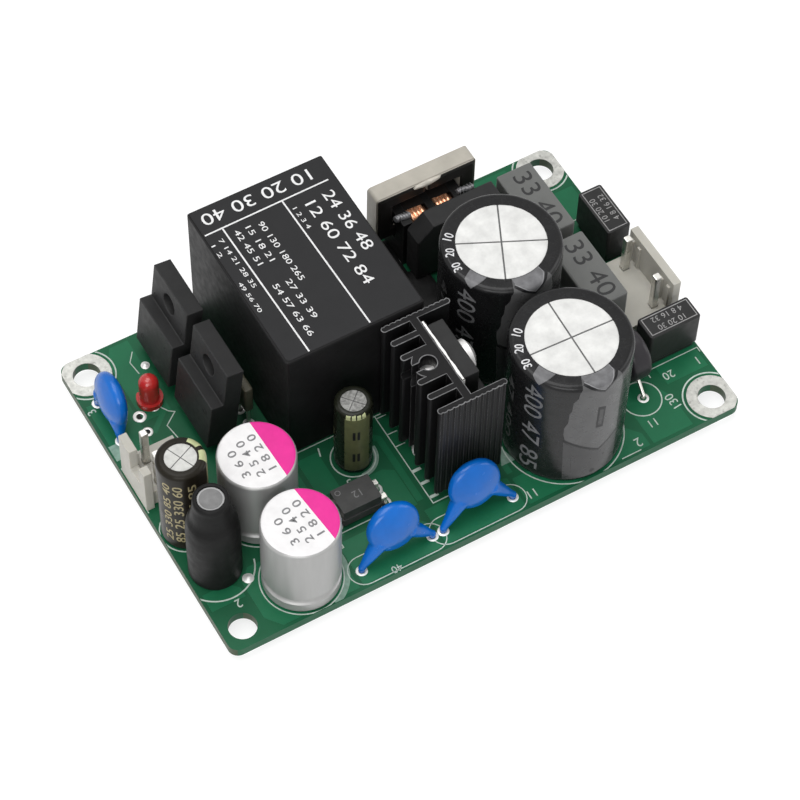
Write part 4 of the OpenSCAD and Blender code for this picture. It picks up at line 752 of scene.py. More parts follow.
def buildBoardPrint():
    b = boardPrint
    low, high = boardBed, boardTop + b["lift"]
    form = bmesh.new()
    for place in b["circles"]:
        addRibbon(form, circle(*place, 72), b["circleLine"], low, high, True)
    for place in b["arcs"]:
        addRibbon(form, arc(*place, 36), b["arcLine"], low, high)
    for place in b["pills"]:
        addRibbon(form, pill(*place), b["line"], low, high, True)
    for points in b["lines"]:
        addRibbon(form, points, b["line"], low, high)
    for points in b["bars"]:
        addRibbon(form, points, b["barLine"], low, high)
    for text, size, x, y, turn in b["digits"]:
        addDigits(form, text, size, x, y, turn, low, high)
    keepOnBoard(form)
    newPiece("board_print", form, ["silkWhite"])


def buildBoardFills():
    b = boardPrint
    bands = [arc(x, y, r, start, end, 20) + arc(x, y, r - b["band"], end, start, 20)
             for x, y, r, start, end in b["halves"]]
    form = bmesh.new()
    for outline in bands + b["patches"]:
        addSlab(form, outline, boardBed, boardTop + b["fillLift"])
    keepOnBoard(form)
    newPiece("board_print_fills", form, ["silkPale"])


padPlan = {
    "jointWall": 0.55,  # solder round a lead, as the CAD nodes have it
    "bore": 0.2, "wall": 0.62, "lift": 0.05,  # tinned ring: from the lead to its inside and outside, height
    "creep": (0.34, 0.08, 0.09),  # solder drawn up the lead: how far out, height at the lead and there
    "blobs": [(-34.9, -17.87, 0.75), (-30.95, 21.6, 0.6)],  # places with solder and no part: x, y, radius
    "open": [(-35.8, 13.9, 1.05, 0.5), (-36.0, 11.0, 0.85, 0.42)],  # empty holes, each with a dark disc of painted shade in its bore: x, y, radius, hole
}


def buildPads(joints):
    # tinned rings round the leads on the top
    p = padPlan
    reach, near, far = p["creep"]
    over = boardTop + p["lift"]
    form = bmesh.new()
    for centre, size in joints:
        lead = size.x / 2 - p["jointWall"]
        bore, edge = lead + p["bore"], lead + p["wall"]
        ring = [(bore, boardBed), (bore, boardTop + near), (lead + reach, boardTop + far),
                (edge - 0.08, over), (edge, boardBed)]
        addLathe(form, ring, centre.x, centre.y, 28)
    for x, y, r, hole in p["open"]:
        ring = [(hole, boardBed), (hole, over), (hole + 0.1, over + 0.04), (r - 0.1, over + 0.02),
                (r, boardBed)]
        addLathe(form, ring, x, y, 32)
        # a dark disc across the hole: painted shade in the bore
        addLathe(form, plate(hole + 0.02, boardBed, boardTop + 0.012), x, y, 32, closed=False, finish=1)
    for x, y, r in p["blobs"]:
        dome = [(0, 0.34), (r * 0.35, 0.3), (r * 0.7, 0.14), (r, 0.05), (r * 1.25, -0.02)]
        addLathe(form, [(out, boardTop + up) for out, up in dome], x, y, 28, closed=False)
    newPiece("top_pads", form, ["padTin", "holeShade"])


slopePlan = {
    "end": -1.8, "tip": 0.5,  # lower end of a joint, its radius there
    "hollow": 2.2, "rows": 8, "uneven": 0.035,
}


def buildSolderSlopes(joints):
    # joints with a hollow slope under the board
    s = slopePlan
    end, rows = s["end"], s["rows"]
    form = bmesh.new()
    for centre, size in joints:
        foot = size.x / 2
        tip = min(s["tip"], foot - padPlan["jointWall"])
        neck = tip * 0.9
        slope = [(0, end), (tip * 0.55, end + 0.03), (tip * 0.86, end + 0.14)]
        for t in (i / rows for i in range(1, rows + 1)):
            slope.append((neck + (foot - neck) * t ** s["hollow"], end + 0.2 + (-end - 0.24) * t))
        slope += [(foot, -0.02), (foot - 0.12, 0.0)]
        lean = centre.x * 3.1 + centre.y * 1.7  # no two joints alike
        addLathe(form, slope, centre.x, centre.y, 28,
                 lambda a, r, z: (r * (1 + s["uneven"] * math.sin(2 * a + lean)), z), closed=False)
    newPiece("solder_slopes", form, ["solder"], ["solder_joints"])


undersidePlan = {
    "lift": 0.035, "layer": 0.002,  # each line a little lower than the one before, so that none share a face
    "wide": [  # points and width
        ([(-39.2, 1.0), (-33.0, 1.0), (-30.8, -8.8), (-30.8, -21.4)], 4.2),
        ([(-39.2, 4.9), (-34.5, 8.0), (-28.3, 8.0), (-28.3, 20.1)], 3.6),
        ([(-25.8, -8.8), (-25.8, -21.4)], 3.8),
        ([(39.2, -7.7), (38.0, -13.4), (33.0, -16.0), (29.3, -19.5)], 2.6),
        ([(39.2, 0.2), (40.0, 5.0), (40.3, 10.8), (34.0, 15.0), (30.3, 17.2)], 2.4),
        ([(30.3, 7.2), (30.3, 2.5)], 2.2), ([(13.0, 0.6), (13.0, -18.4)], 4.0),
        ([(20.5, 0.6), (20.5, -18.4)], 4.0), ([(20.5, 0.6), (24.0, 8.0), (24.6, 16.6)], 2.6),
        ([(13.0, 0.6), (11.0, 9.0), (13.2, 16.6)], 2.6), ([(3.0, -10.6), (8.0, -10.6), (13.0, -18.4)], 2.4),
        ([(3.0, -8.0), (2.0, 0.0), (-1.6, 4.8)], 2.2), ([(12.3, 19.9), (17.0, 16.6)], 1.6),
        ([(22.1, 19.9), (20.8, 16.6)], 1.6), ([(-15.9, 4.8), (-21.0, 4.6), (-26.0, 8.0)], 2.4),
    ],
    "fine": [
        ([(-7.2, 10.2), (-7.2, 5.0), (-12.1, -2.0), (-13.1, -7.6)], 0.5),
        ([(-9.5, 10.2), (-9.5, 4.0), (-16.0, -4.0), (-19.9, -13.9)], 0.5),
        ([(-8.2, 14.4), (-3.0, 17.0), (2.0, 12.0), (3.0, -13.1)], 0.5),
        ([(-12.0, -16.4), (-8.0, -20.0), (4.6, -24.7)], 0.6), ([(-19.9, -16.4), (-20.4, -24.7)], 0.6),
        ([(-33.2, 14.5), (-36.0, 10.6), (-39.2, 6.4)], 0.7),
        ([(-40.1, 19.0), (-33.0, 22.0), (-28.3, 22.7)], 1.0),
    ],
    "tinned": (0, 1, 2, 6, 7),  # wide lines with a bare tinned strip
    "strip": 0.32, "stripLift": 0.16, "stripLayer": 0.004,  # its share of the width, height, step
    "stripShift": 0.999,  # drawn in a little, so that no strip shares a side with its line
}


def buildUnderside():
    u = undersidePlan
    form = bmesh.new()
    for k, (points, width) in enumerate(u["wide"] + u["fine"]):
        addRibbon(form, points, width, -u["lift"] - u["layer"] * k, 0.01)
    newPiece("underside_copper", form, ["maskOverCopper"])
    form = bmesh.new()
    for k, line in enumerate(u["tinned"]):
        points, width = u["wide"][line]
        inner = [(x * u["stripShift"], y) for x, y in points]
        addRibbon(form, inner, width * u["strip"], -u["stripLift"] - u["stripLayer"] * k, 0.0)
    newPiece("underside_tinning", form, ["solder"])


chipPlan = {
    "places": [  # x, y, turn
        (-22.0, -2.0, 0), (-17.6, -9.6, 90), (-4.2, 1.2, 0), (-4.2, -1.6, 0), (5.6, 6.4, 90),
        (-26.6, 2.4, 0), (25.6, -8.4, 90), (-12.8, 19.4, 0),
    ],
    "body": (0.72, 0.62, -0.55, -0.06), "end": (1.02, 0.64, -0.57, 0.0),  # half length and width, low, high
    "bevel": 0.06,
}


def buildChips():
    # small chip resistors: body and two metal ends
    c = chipPlan
    halfBody, widthBody, *bodyHeights = c["body"]
    halfEnd, widthEnd, *endHeights = c["end"]
    form = bmesh.new()
    for x, y, turn in c["places"]:
        part = bmesh.new()
        addSlab(part, rectangle(-halfBody, -widthBody, halfBody, widthBody), *bodyHeights)
        for start, stop in ((-halfEnd, -halfBody), (halfBody, halfEnd)):
            addSlab(part, rectangle(start, -widthEnd, stop, widthEnd), *endHeights, 1)
        bmesh.ops.bevel(part, geom=part.edges[:], offset=c["bevel"], segments=2, affect="EDGES",
                        clamp_overlap=True)
        part.transform(placed(x, y, turn))
        addForm(form, part)
    newPiece("underside_chips", form, ["package", "tin"])


solderJoints = islands("solder_joints")
buildCopper()
buildBoardPrint()
buildBoardFills()
buildPads(solderJoints)
buildSolderSlopes(solderJoints)
buildUnderside()
buildChips()
print("board printed, copper and pads laid, joints:", len(solderJoints))


# shrunk sleeves and scored lids of the capacitors

def addRows(path, gap):
    # more points along the straight parts
    dense = [path[0]]
    for (r0, z0), (r1, z1) in zip(path, path[1:]):
        count = max(1, round(math.hypot(r1 - r0, z1 - z0) / gap))
        for i in range(1, count + 1):
            dense.append((r0 + (r1 - r0) * i / count, z0 + (z1 - z0) * i / count))
    return dense


def pathAt(path, length):
    # point and outward normal of a profile at a length along it
    for (r0, z0), (r1, z1) in zip(path, path[1:]):
        part = math.hypot(r1 - r0, z1 - z0)
        if length <= part or (r1, z1) == path[-1]:
            t = length / part
            return r0 + (r1 - r0) * t, z0 + (z1 - z0) * t, (z1 - z0) / part, (r0 - r1) / part
        length -= part


def measureSleeve(name, look):
    # the sleeve's place, size and outside profile, from its foot to the edge of the lid
    low, high = corners(name)
    outer, top = (high.x - low.x) / 2, high.z - look["drop"]
    tuck, bend = look["tuck"], look["round"]
    path = [(outer - tuck, low.z), (outer - tuck * 0.3, low.z + 0.25), (outer, low.z + 0.6)]
    path += arc(outer - bend, top - bend, bend, 0, 90, 12) + [(look["rim"], top)]
    full = sum(math.hypot(r1 - r0, z1 - z0) for (r0, z0), (r1, z1) in zip(path, path[1:]))
    return {"at": middle(name), "outer": outer, "foot": low.z, "top": top, "path": path, "full": full}


def buildSleeve(name, look, size, crumple):
    rim, bend, wall, outer, top = look["rim"], look["round"], look["wall"], size["outer"], size["top"]
    lipIn, lipDown = look["lip"]
    inside = [(rim - lipIn, top - lipDown), (rim, top - wall), (outer - bend, top - wall),
              (outer - wall, top - bend), (outer - wall, size["foot"])]
    form = bmesh.new()
    outside = addRows(size["path"], look["rowGap"])
    addLathe(form, outside + inside, size["at"].x, size["at"].y, look["steps"], crumple)
    newPiece("shrunk_" + name, form, [look["finish"]], [name], 60)


def buildLid(canName, at, rim, cross, lid):
    # four sectors between the score lines, over a dark plate: painted shade in the score lines
    top = corners(canName)[1].z
    form = bmesh.new()
    under = plate(rim - 0.03, top - 0.03, top + 0.02)
    addLathe(form, under, at.x, at.y, lid["steps"], closed=False, finish=1)
    reach, score = rim - lid["gap"], lid["score"]
    edge = math.degrees(math.asin(score / reach))
    for quarter in range(4):
        part = bmesh.new()
        sector = [(score, score)] + arc(0, 0, reach, edge, 90 - edge, lid["arcSteps"])
        face = addSlab(part, sector, top + 0.01, top + lid["thick"])
        bmesh.ops.inset_individual(part, faces=[face], thickness=lid["slope"], depth=lid["rise"])
        part.transform(placed(at.x, at.y, cross + 90 * quarter))
        addForm(form, part)
    newPiece("lid_" + canName, form, [lid["finish"], "lidGrooveShade"], sharp=50)


sleeveBed = -0.05  # print on a sleeve starts this far inside it


def buildMarks(name, look, size, crumple, lean=0.0):
    # print is drawn flat, as degrees round the can and height, and then laid on the folds of the sleeve;
    # a height under zero counts down from the edge of the lid
    at, outer, path, full, inks = size["at"], size["outer"], size["path"], size["full"], look["inks"]

    def on(degrees, height):
        return math.radians(degrees + lean) * outer, height if height > 0 else full + height

    form = bmesh.new()
    for ink, lift, outline in look["areas"]:
        addSlab(form, [on(*p) for p in outline], sleeveBed, lift, inks.index(ink))
    for ink, lift, width, points in look["lines"]:
        addRibbon(form, [on(*p) for p in points], width, sleeveBed, lift, finish=inks.index(ink))
    for ink, lift, radius, spot in look["dots"]:
        addSlab(form, circle(*on(*spot), radius, 18), sleeveBed, lift, inks.index(ink))
    for ink, text, digitSize, spot, more in look["rows"]:
        addDigits(form, text, digitSize, *on(*spot), look["rowTurn"], sleeveBed, look["rowLift"],
                  inks.index(ink), **more)
    for ink, text, digitSize, (turn, height) in look["rimRows"]:
        addDigits(form, text, digitSize, *on(turn - lean, height), look["rimTurn"], sleeveBed,
                  look["rimLift"], inks.index(ink), bold=0.02)
    aroundStep, upStep, rimStep, rimReach = look["slices"]
    sliceForm(form, 0, aroundStep)
    sliceForm(form, 1, upStep)
    sliceForm(form, 1, rimStep, full - rimReach)
    for vert in form.verts:
        angle = vert.co.x / outer
        r, z, outR, outZ = pathAt(path, vert.co.y)
        rr, zz = crumple(angle, r, z)
        reach = rr + outR * vert.co.z
        vert.co = (at.x + reach * math.cos(angle), at.y + reach * math.sin(angle), zz + outZ * vert.co.z)
    newPiece("marks_" + name, form, inks, sharp=60)


# large capacitors

bulkLook = {
    "finish": "sleeveBlack", "slot": "sleeve_black", "rim": 6.65, "round": 0.85, "wall": 0.25, "tuck": 0.14,
    "drop": 0.06,  # room for the print on the rim
    "lip": (0.03, 0.1), "steps": 224, "rowGap": 0.8, "slices": (0.42, 0.6, 0.11, 3.6),
    "lid": {"finish": "lidMetal", "steps": 96, "gap": 0.04, "score": 0.13, "arcSteps": 22, "thick": 0.10,
            "slope": 0.14, "rise": 0.035},
    "inks": ["printGrey", "printPale", "printDark", "printMid", "printDim", "printWhite"],
    # negative stripe with its arrows: ink, lift, outline
    "areas": [
        ("printGrey", 0.012, [
            (-114, 0.5), (-114.5, 4.2), (-116, 8.4), (-117, 9.4), (-122.5, 10.6), (-124.5, 12.4),
            (-124.5, 14.0), (-121.5, 15.4), (-121, 17.6), (-119.2, 18.4), (-118.6, 20.4), (-114.5, 21.4),
            (-113.4, 22.8), (-111.5, 23.3), (-111, -0.3), (-74, -0.3), (-70, 23.4), (-67, 20.7),
            (-68, 17.0), (-67, 10.6), (-66.5, 4.0), (-67, 0.5)]),
        ("printDim", 0.016, [
            (-117, 9.4), (-116, 8.4), (-114.5, 4.2), (-113.8, 0.55), (-66.8, 0.55), (-67, 8.8), (-89, 6.7),
            (-124, 10.7)]),
        ("printDim", 0.010, [(-121.5, 0.55), (-114, 0.55), (-116, 9.2), (-124, 10.4)]),
        ("printMid", 0.018, [(-111, -0.1), (-108.5, 24.6), (-89.5, 22.2), (-75, 24.4), (-73, -0.1)]),
        ("printMid", 0.012, [(-164, -0.1), (-161, 23.8), (-152, 22.9), (-146, 24.1), (-141, -0.1)]),
        ("printDark", 0.024, [(-94.8, 13.0), (-87.2, 12.6), (-86.2, 17.6), (-94.2, 18.1)]),
        ("printDim", 0.03, [(-92.9, 13.6), (-88.9, 13.3), (-88.0, 17.0), (-92.4, 17.4)]),
    ],
    "lines": [  # ink, lift, width, points
        ("printPale", 0.022, 0.12, [(-109, 24.5), (-89.5, 22.15), (-74, 24.5), (-72.6, -0.1)]),
        ("printDark", 0.020, 0.42, [(-124, 10.8), (-89, 6.8), (-67, 8.9)]),
        ("printDark", 0.020, 0.42, [(-110, 24.2), (-89.5, 21.8), (-72, 24.2), (-70.6, -0.2)]),
    ],
    "dots": [("printDark", 0.022, 0.42, (-93, 1.6)), ("printDark", 0.022, 0.18, (-82, 4.7))],
    # plain numbers: ink, text, size, place, and length or spacing
    "rows": [
        ("printMid", "400 47 85", 4.4, (-157, 11.6), {"length": 20.5}),
        ("printGrey", "47 400", 2.4, (-187, 11.6), {"length": 15.0}),
        ("printGrey", "400 47 85", 3.6, (-40, 12.4), {"length": 18.0}),
        ("printGrey", "47 400", 3.6, (20, 12.0), {"length": 14.0}),
        ("printGrey", "85 47 400", 3.6, (80, 12.0), {"length": 18.0}),
        ("printGrey", "400", 3.6, (128, 12.0), {"length": 8.0}),
    ],
    "rowTurn": -90, "rowLift": 0.014,
    "rimRows": [("printWhite", "10", 1.9, (146, -0.95)), ("printWhite", "20", 1.8, (166, -1.0)),
                ("printWhite", "30", 1.8, (186, -1.2))],
    "rimTurn": 165, "rimLift": 0.02,
}
bulkPlan = {  # turn of the lid's cross and of the stripe in degrees, seed of the folds
    "bulk_sleeve_1": {"can": "bulk_can_1", "cross": 64.1, "stripe": 2.0, "seed": 11.3},
    "bulk_sleeve_2": {"can": "bulk_can_2", "cross": 87.5, "stripe": 0.0, "seed": 22.6},
}


def bulkFolds(size, seed):
    # shrink folds at the rim, soft waves down the side and a wavy foot
    outer, foot, top = size["outer"], size["foot"], size["top"]

    def crumple(angle, r, z):
        near = max(0.0, 1 - abs(z - (top - 0.45)) / 1.3)
        fold = roundNoise(angle, 3.2, seed) + 0.5 * roundNoise(angle, 9, seed + z * 0.4)
        wave = roundNoise(angle, 1.4, z * 0.16 + seed)
        hem = max(0.0, 1 - (z - foot) / 1.2) * roundNoise(angle, 7, seed + 5)
        sunk = 0.05 * near * abs(fold)
        return r - 0.03 * abs(wave) - sunk - 0.10 * abs(hem), z - (sunk if r < outer - 0.3 else 0)

    return crumple


for name, plan in bulkPlan.items():
    size = measureSleeve(name, bulkLook)
    crumple = bulkFolds(size, plan["seed"])
    buildSleeve(name, bulkLook, size, crumple)
    buildLid(plan["can"], size["at"], bulkLook["rim"], plan["cross"], bulkLook["lid"])
    buildMarks(name, bulkLook, size, crumple, plan["stripe"])
print("large capacitors sleeved")


# polymer capacitors: printed tops

polymerLook = {
    "round": 0.6, "ink": 0.03,  # rounding of the can, thickness of the print
    "bend": 34,  # degrees of the rounding that are printed
    "turn": {"polymer_can_1": 2.0, "polymer_can_2": 6.0},
    "chord": {"polymer_can_1": 1.83, "polymer_can_2": 2.33},  # where the second colour begins
    "rows": ("1820", "2540", "360"), "size": 1.75, "rowGap": 1.85, "digitGap": 1.62,
}


def buildPolymerTop(name):
    p = polymerLook
    low, high = corners(name)
    at, top = middle(name), high.z
    bend, ink = p["round"], p["ink"]
    flat = (high.x - low.x) / 2 - bend
    profile = [(0, top + ink), (flat * 0.5, top + ink)]
    profile += arc(flat, top - bend, bend + ink, 90, 90 - p["bend"], 4)
    edgeR, edgeZ = profile[-1]
    profile += [(edgeR - 0.05, edgeZ - 0.02), (flat * 0.5, top - 0.05), (0, top - 0.05)]
    form = bmesh.new()
    addLathe(form, profile, at.x, at.y, 96, closed=False)
    split = at.x + p["chord"][name]
    cutForm(form, (split, 0, 0), (1, 0, 0))
    for face in form.faces:
        face.material_index = 1 if face.calc_center_median().x > split else 0
    for row, text in enumerate(p["rows"]):
        addDigits(form, text, p["size"], split - 1.0 - p["rowGap"] * row, at.y - 0.2, 90, top, top + 0.05, 2,
                  1.7, p["digitGap"] * len(text), 0.02)
    form.transform(placed(at.x, at.y, p["turn"][name]) @ placed(-at.x, -at.y))
    newPiece("top_print_" + name, form, ["topWhite", "topPink", "topDigits"], sharp=30)


for name in ("polymer_can_1", "polymer_can_2"):
    buildPolymerTop(name)
print("polymer capacitors printed")


# small capacitors

smallShape = {"wall": 0.25, "tuck": 0.1, "drop": 0.0, "lip": (0.02, 0.08), "steps": 112, "rowGap": 0.7,
              "slices": (0.25, 0.5, 0.12, 2.4), "rowLift": 0.014, "lines": [], "dots": [], "rimRows": []}
smallLid = {"steps": 64, "gap": 0.03, "score": 0.07, "arcSteps": 12, "thick": 0.12, "slope": 0.12,
            "rise": 0.04}


def darkDashes(places, length):
    # small dark bars on the stripe: start, end and lower height
    return [("printDark", 0.02, rectangle(start, low, end, low + length)) for start, end, low in places]


smallLook = {
    "output_filter_sleeve": {
        **smallShape, "can": "output_filter_can", "rim": 2.33, "round": 0.8, "cross": 24.0,
        "finish": "sleeveBrown", "slot": "sleeve_brown", "lid": {**smallLid, "finish": "lidDull"},
        "inks": ["printGold", "printLime", "printDark"],
        "areas": [
            ("printLime", 0.02, rectangle(8, -1.75, 44, -0.25)),
            ("printLime", 0.02, rectangle(-38, -1.75, -6, -0.25)),
            ("printGold", 0.012, rectangle(-40, 0.6, 46, -2.4)),
            *darkDashes([(-4, 8, 2.2 + 3.1 * k) for k in range(5)], 1.7),
        ],
        "rows": [
            ("printGold", text, tall, (turn, 9.2), {"length": 14.6, "bold": 0.015})
            for turn, text, tall in (
                (-154, "25 330 85 40", 1.75), (-126, "85 25 330 60", 2.0), (-92, "330 25 85", 1.75),
                (60, "85 330 25", 1.75), (130, "330 85 25", 1.75))
        ],
        "rowTurn": 90,
    },
    "supply_filter_sleeve": {
        **smallShape, "can": "supply_filter_can", "rim": 1.90, "round": 0.6, "cross": 40.0,
        "finish": "sleeveOlive", "slot": "sleeve_olive", "lid": {**smallLid, "finish": "lidRough"},
        "inks": ["printOlive", "printLime", "printDark"],
        "areas": [
            ("printOlive", 0.012, rectangle(-146, 0.6, -64, -1.6)),
            ("printLime", 0.02, [(-142, -1.7), (-128, -1.7), (-128, -0.75), (-142, -0.8)]),
            ("printLime", 0.02, [(-124, -1.7), (-112, -1.7), (-112, -0.65), (-124, -0.8)]),
            ("printLime", 0.02, [(-108, -1.7), (-96, -1.7), (-96, -0.75), (-108, -0.8)]),
            ("printLime", 0.02, [(-92, -1.7), (-80, -1.7), (-80, -0.65), (-92, -0.8)]),
            *darkDashes([(-121, -113, 8.6), (-107, -99, 8.6), (-121, -113, 3.0), (-107, -99, 3.0)], 2.0),
        ],
        "rows": [("printOlive", text, 1.6, (turn, 6.4), {"wide": 1.2})
                 for turn, text in ((10, "33 50"), (70, "85"), (150, "50 33"))],
        "rowTurn": -90,
    },
}


def smallFolds(size):
    at, top = size["at"], size["top"]

    def crumple(angle, r, z):
        near = max(0.0, 1 - abs(z - top + 0.3) / 0.9)
        fold = roundNoise(angle, 2.6, at.x)
        wave = roundNoise(angle, 1.2, z * 0.3 + at.y)
        return r - 0.02 * abs(wave) - 0.05 * near * abs(fold), z

    return crumple


for name, look in smallLook.items():
    size = measureSleeve(name, look)
    crumple = smallFolds(size)
    buildSleeve(name, look, size, crumple)
    buildLid(look["can"], size["at"], look["rim"], look["cross"], look["lid"])
    buildMarks(name, look, size, crumple)
print("small capacitors sleeved")


# inductor

inductorLook = {
    "opening": 1.95, "wall": 0.35, "slim": 2.64,  # mouth of the sleeve, its wall, its radius round the top
    "shoulder": 13.04, "neck": 18.94,  # heights where the winding ends and where the top begins
    "endFace": 1.66, "endLift": 0.10,  # ground end of the core: radius of its flat and height
}


def buildInductorSleeve():
    i = inductorLook
    low, high = corners("inductor_sleeve")
    at, top = middle("inductor_sleeve"), high.z
    outer, slim, wall, mouth = (high.x - low.x) / 2, i["slim"], i["wall"], i["opening"]
    shoulder, neck = i["shoulder"], i["neck"]
    path = [(outer - 0.12, low.z), (outer, low.z + 0.4), (outer, shoulder - 0.6)]
    for inward, up in ((0.05, 0), (0.2, 1.4), (0.34, 2.1), (0.62, 2.55), (0.8, 3.0), (0.95, 3.8)):
        path.append((outer - inward, shoulder + up))
    path += [(slim + 0.1, neck - 0.5), (slim + 0.02, neck), (slim, top - 0.5), (slim - 0.1, top - 0.18),
             (slim - 0.3, top), (mouth + 0.1, top), (mouth, top - 0.08), (mouth, top - wall)]
    inside = [(slim - wall, top - wall), (slim - wall, neck), (outer - wall, shoulder), (outer - wall, low.z)]

    def shrink(angle, r, z):
        lump = roundNoise(angle, 1.3, z * 0.35)
        crease = roundNoise(angle, 5, z * 0.15 + 4) * max(0.0, 1 - abs(z - shoulder - 2.6) / 1.6)
        return r - 0.06 * abs(lump) - 0.07 * abs(crease), z

    form = bmesh.new()
    addLathe(form, addRows(path, 0.45) + inside, at.x, at.y, 128, shrink)
    newPiece("shrunk_inductor_sleeve", form, ["shrinkTube"], ["inductor_sleeve"], 60)


def buildInductorEnd():
    # ground end of the core, seen in the opening of the sleeve
    i = inductorLook
    at, top = middle("inductor_sleeve"), corners("inductor_core")[1].z
    flat, face = i["endFace"], top + i["endLift"]
    rim = [(flat, face), (1.72, top + 0.13), (1.84, top + 0.12), (1.93, top + 0.05), (1.93, top - 0.02)]
    form = bmesh.new()
    addLathe(form, [(0, face), (1.2, face), (flat, face)], at.x, at.y, 64, closed=False)
    addLathe(form, rim, at.x, at.y, 64, closed=False, finish=1)
    newPiece("inductor_end_face", form, ["inductorCore", "inductorRim"])


buildInductorSleeve()
buildInductorEnd()
print("inductor sleeved")


# coated discs: the coating flows from disc to leg

discLook = {"voxel": 0.13, "smooth": 9, "uneven": 0.045, "waves": 0.55}


def buildDisc(name):
    d = discLook
    copy = bpy.data.objects.new("copy", cadNodes[name].data.copy())
    even = copy.modifiers.new("even", "REMESH")
    even.mode = "VOXEL"
    even.voxel_size = d["voxel"] * mm
    flow = copy.modifiers.new("flow", "SMOOTH")
    flow.factor = 0.5
    flow.iterations = d["smooth"]
    form = bakedForm(copy)
    form.transform(Matrix.Scale(1 / mm, 4))
    for face in form.faces:
        face.material_index = 0
    for vert in form.verts:  # dipped coating is never quite even
        vert.co += vert.normal * d["uneven"] * noise.noise(vert.co * d["waves"])
    newPiece("coated_" + name, form, ["blueCoat"], [name], 80)


for name in ("safety_capacitor_1", "safety_capacitor_2", "safety_capacitor_3"):
    buildDisc(name)
print("discs coated")


# choke: turns of wire, varnish, glue, wire ends, tape, and a dark sheet of painted shade in the core's window

windingLook = {"wire": 0.78, "turns": 4, "corner": 1.25, "wobble": 0.05, "cornerSteps": 8}


def buildWinding(name):
    w = windingLook
    low, high = corners(name)
    at = middle(name)
    r, corner = w["wire"] / 2, w["corner"]
    halfY, halfZ = (high.y - low.y) / 2 - r, (high.z - low.z) / 2 - r
    loop = []
    for sideY, sideZ, start in ((1, 1, 0), (-1, 1, 90), (-1, -1, 180), (1, -1, 270)):
        centreY, centreZ = sideY * (halfY - corner), sideZ * (halfZ - corner)
        loop += arc(centreY, centreZ, corner, start, start + 90, w["cornerSteps"])
    length, total = high.x - low.x - w["wire"], w["turns"] * len(loop)
    points = []
    for k in range(total + 1):
        y, z = loop[k % len(loop)]
        wobble = w["wobble"] * noise.noise((k * 0.21, at.x, 0.0))
        points.append((low.x + r + length * k / total + wobble, at.y + y + wobble * 0.5, at.z + z))
    form = bmesh.new()
    tube(form, points, r)
    shareY, shareZ = (halfY - r * 0.8) / halfY, (halfZ - r * 0.8) / halfZ
    block = bmesh.new()  # layers under the outer one, painted dark: painted shade between the turns
    addSlab(block, [(at.y + y * shareY, at.z + z * shareZ) for y, z in loop], low.x + 0.05, high.x - 0.05, 1)
    block.transform(Matrix(((0, 0, 1, 0), (1, 0, 0, 0), (0, 1, 0, 0), (0, 0, 0, 1))))  # drawn in y and z
    addForm(form, block)
    newPiece("turns_" + name, form, ["copperWire", "copperInShade"], [name])


chokeLook = {
    "skin": 0.05, "round": 0.6, "skinFoot": 1.2, "skinFront": 0.3,  # varnish over both core halves
    "glueSize": (2.3, 0.42, 0.5), "glueRagged": 0.16,
    "wireEnds": ((10.9, 13.3, 0.5), (21.6, 24.3, 0.42)), "wireY": 20.35,  # start and end in x, radius
    "binding": 0.07, "bindingReach": 0.52, "bindingTurns": 5,
    "leg": 2.9, "yoke": 2.7,  # dark sheet in the window between the core's legs: painted shade
}


def buildVarnish():
    c = chokeLook
    (low, high), right = corners("choke_core_left"), corners("choke_core_right")[1]
    skin, r = c["skin"], c["round"]
    x0, x1, foot, top = low.x - skin, right.x + skin, low.z + c["skinFoot"], high.z + skin
    outline = roundedTop(x0, x1, foot, top, r)
    inner = roundedTop(x0 + 2 * skin, x1 - 2 * skin, foot, top - 2 * skin, r - 2 * skin)
    form = bmesh.new()
    addSlab(form, outline + inner[::-1], low.y + c["skinFront"], high.y + skin)
    form.transform(standUp)
    newPiece("choke_varnish", form, ["chokeSkin"], sharp=30)


def buildChokeGlue():
    c = chokeLook
    low, high = corners("choke_core_left")
    middleX = (high.x + corners("choke_core_right")[0].x) / 2
    wide, deep, tall = c["glueSize"]
    form = bmesh.new()
    bmesh.ops.create_icosphere(form, subdivisions=4, radius=1.0)
    for vert in form.verts:
        x, y, z = vert.co
        ragged = 1 + c["glueRagged"] * noise.noise(vert.co * 2.1)
        vert.co = (middleX + x * wide * ragged, low.y + 0.05 + y * deep,
                   high.z - 0.42 + z * tall * ragged + 0.06 * x)
    newPiece("choke_glue", form, ["glue"])


def buildWireEnds():
    # tinned ends of the windings, bound with thin wire
    c = chokeLook
    top, y, reach = corners("choke_bobbin")[1].z, c["wireY"], c["bindingReach"]
    half = [math.radians(d) for d in range(-20, 201, 20)]
    form = bmesh.new()
    for start, end, radius in c["wireEnds"]:
        wire = [(start + (end - start) * k / 6, y + 0.12 * math.sin(k), top + 0.32 - 0.03 * k)
                for k in range(7)]
        tube(form, wire, radius, 14)
        for k in range(c["bindingTurns"]):
            x = start + 0.3 + (end - start - 0.6) * k / (c["bindingTurns"] - 1)
            turn = [(x, y + reach * math.cos(a), top + 0.27 + reach * math.sin(a)) for a in half]
            tube(form, turn, c["binding"], 6)
    newPiece("choke_wire_ends", form, ["wireTin"])


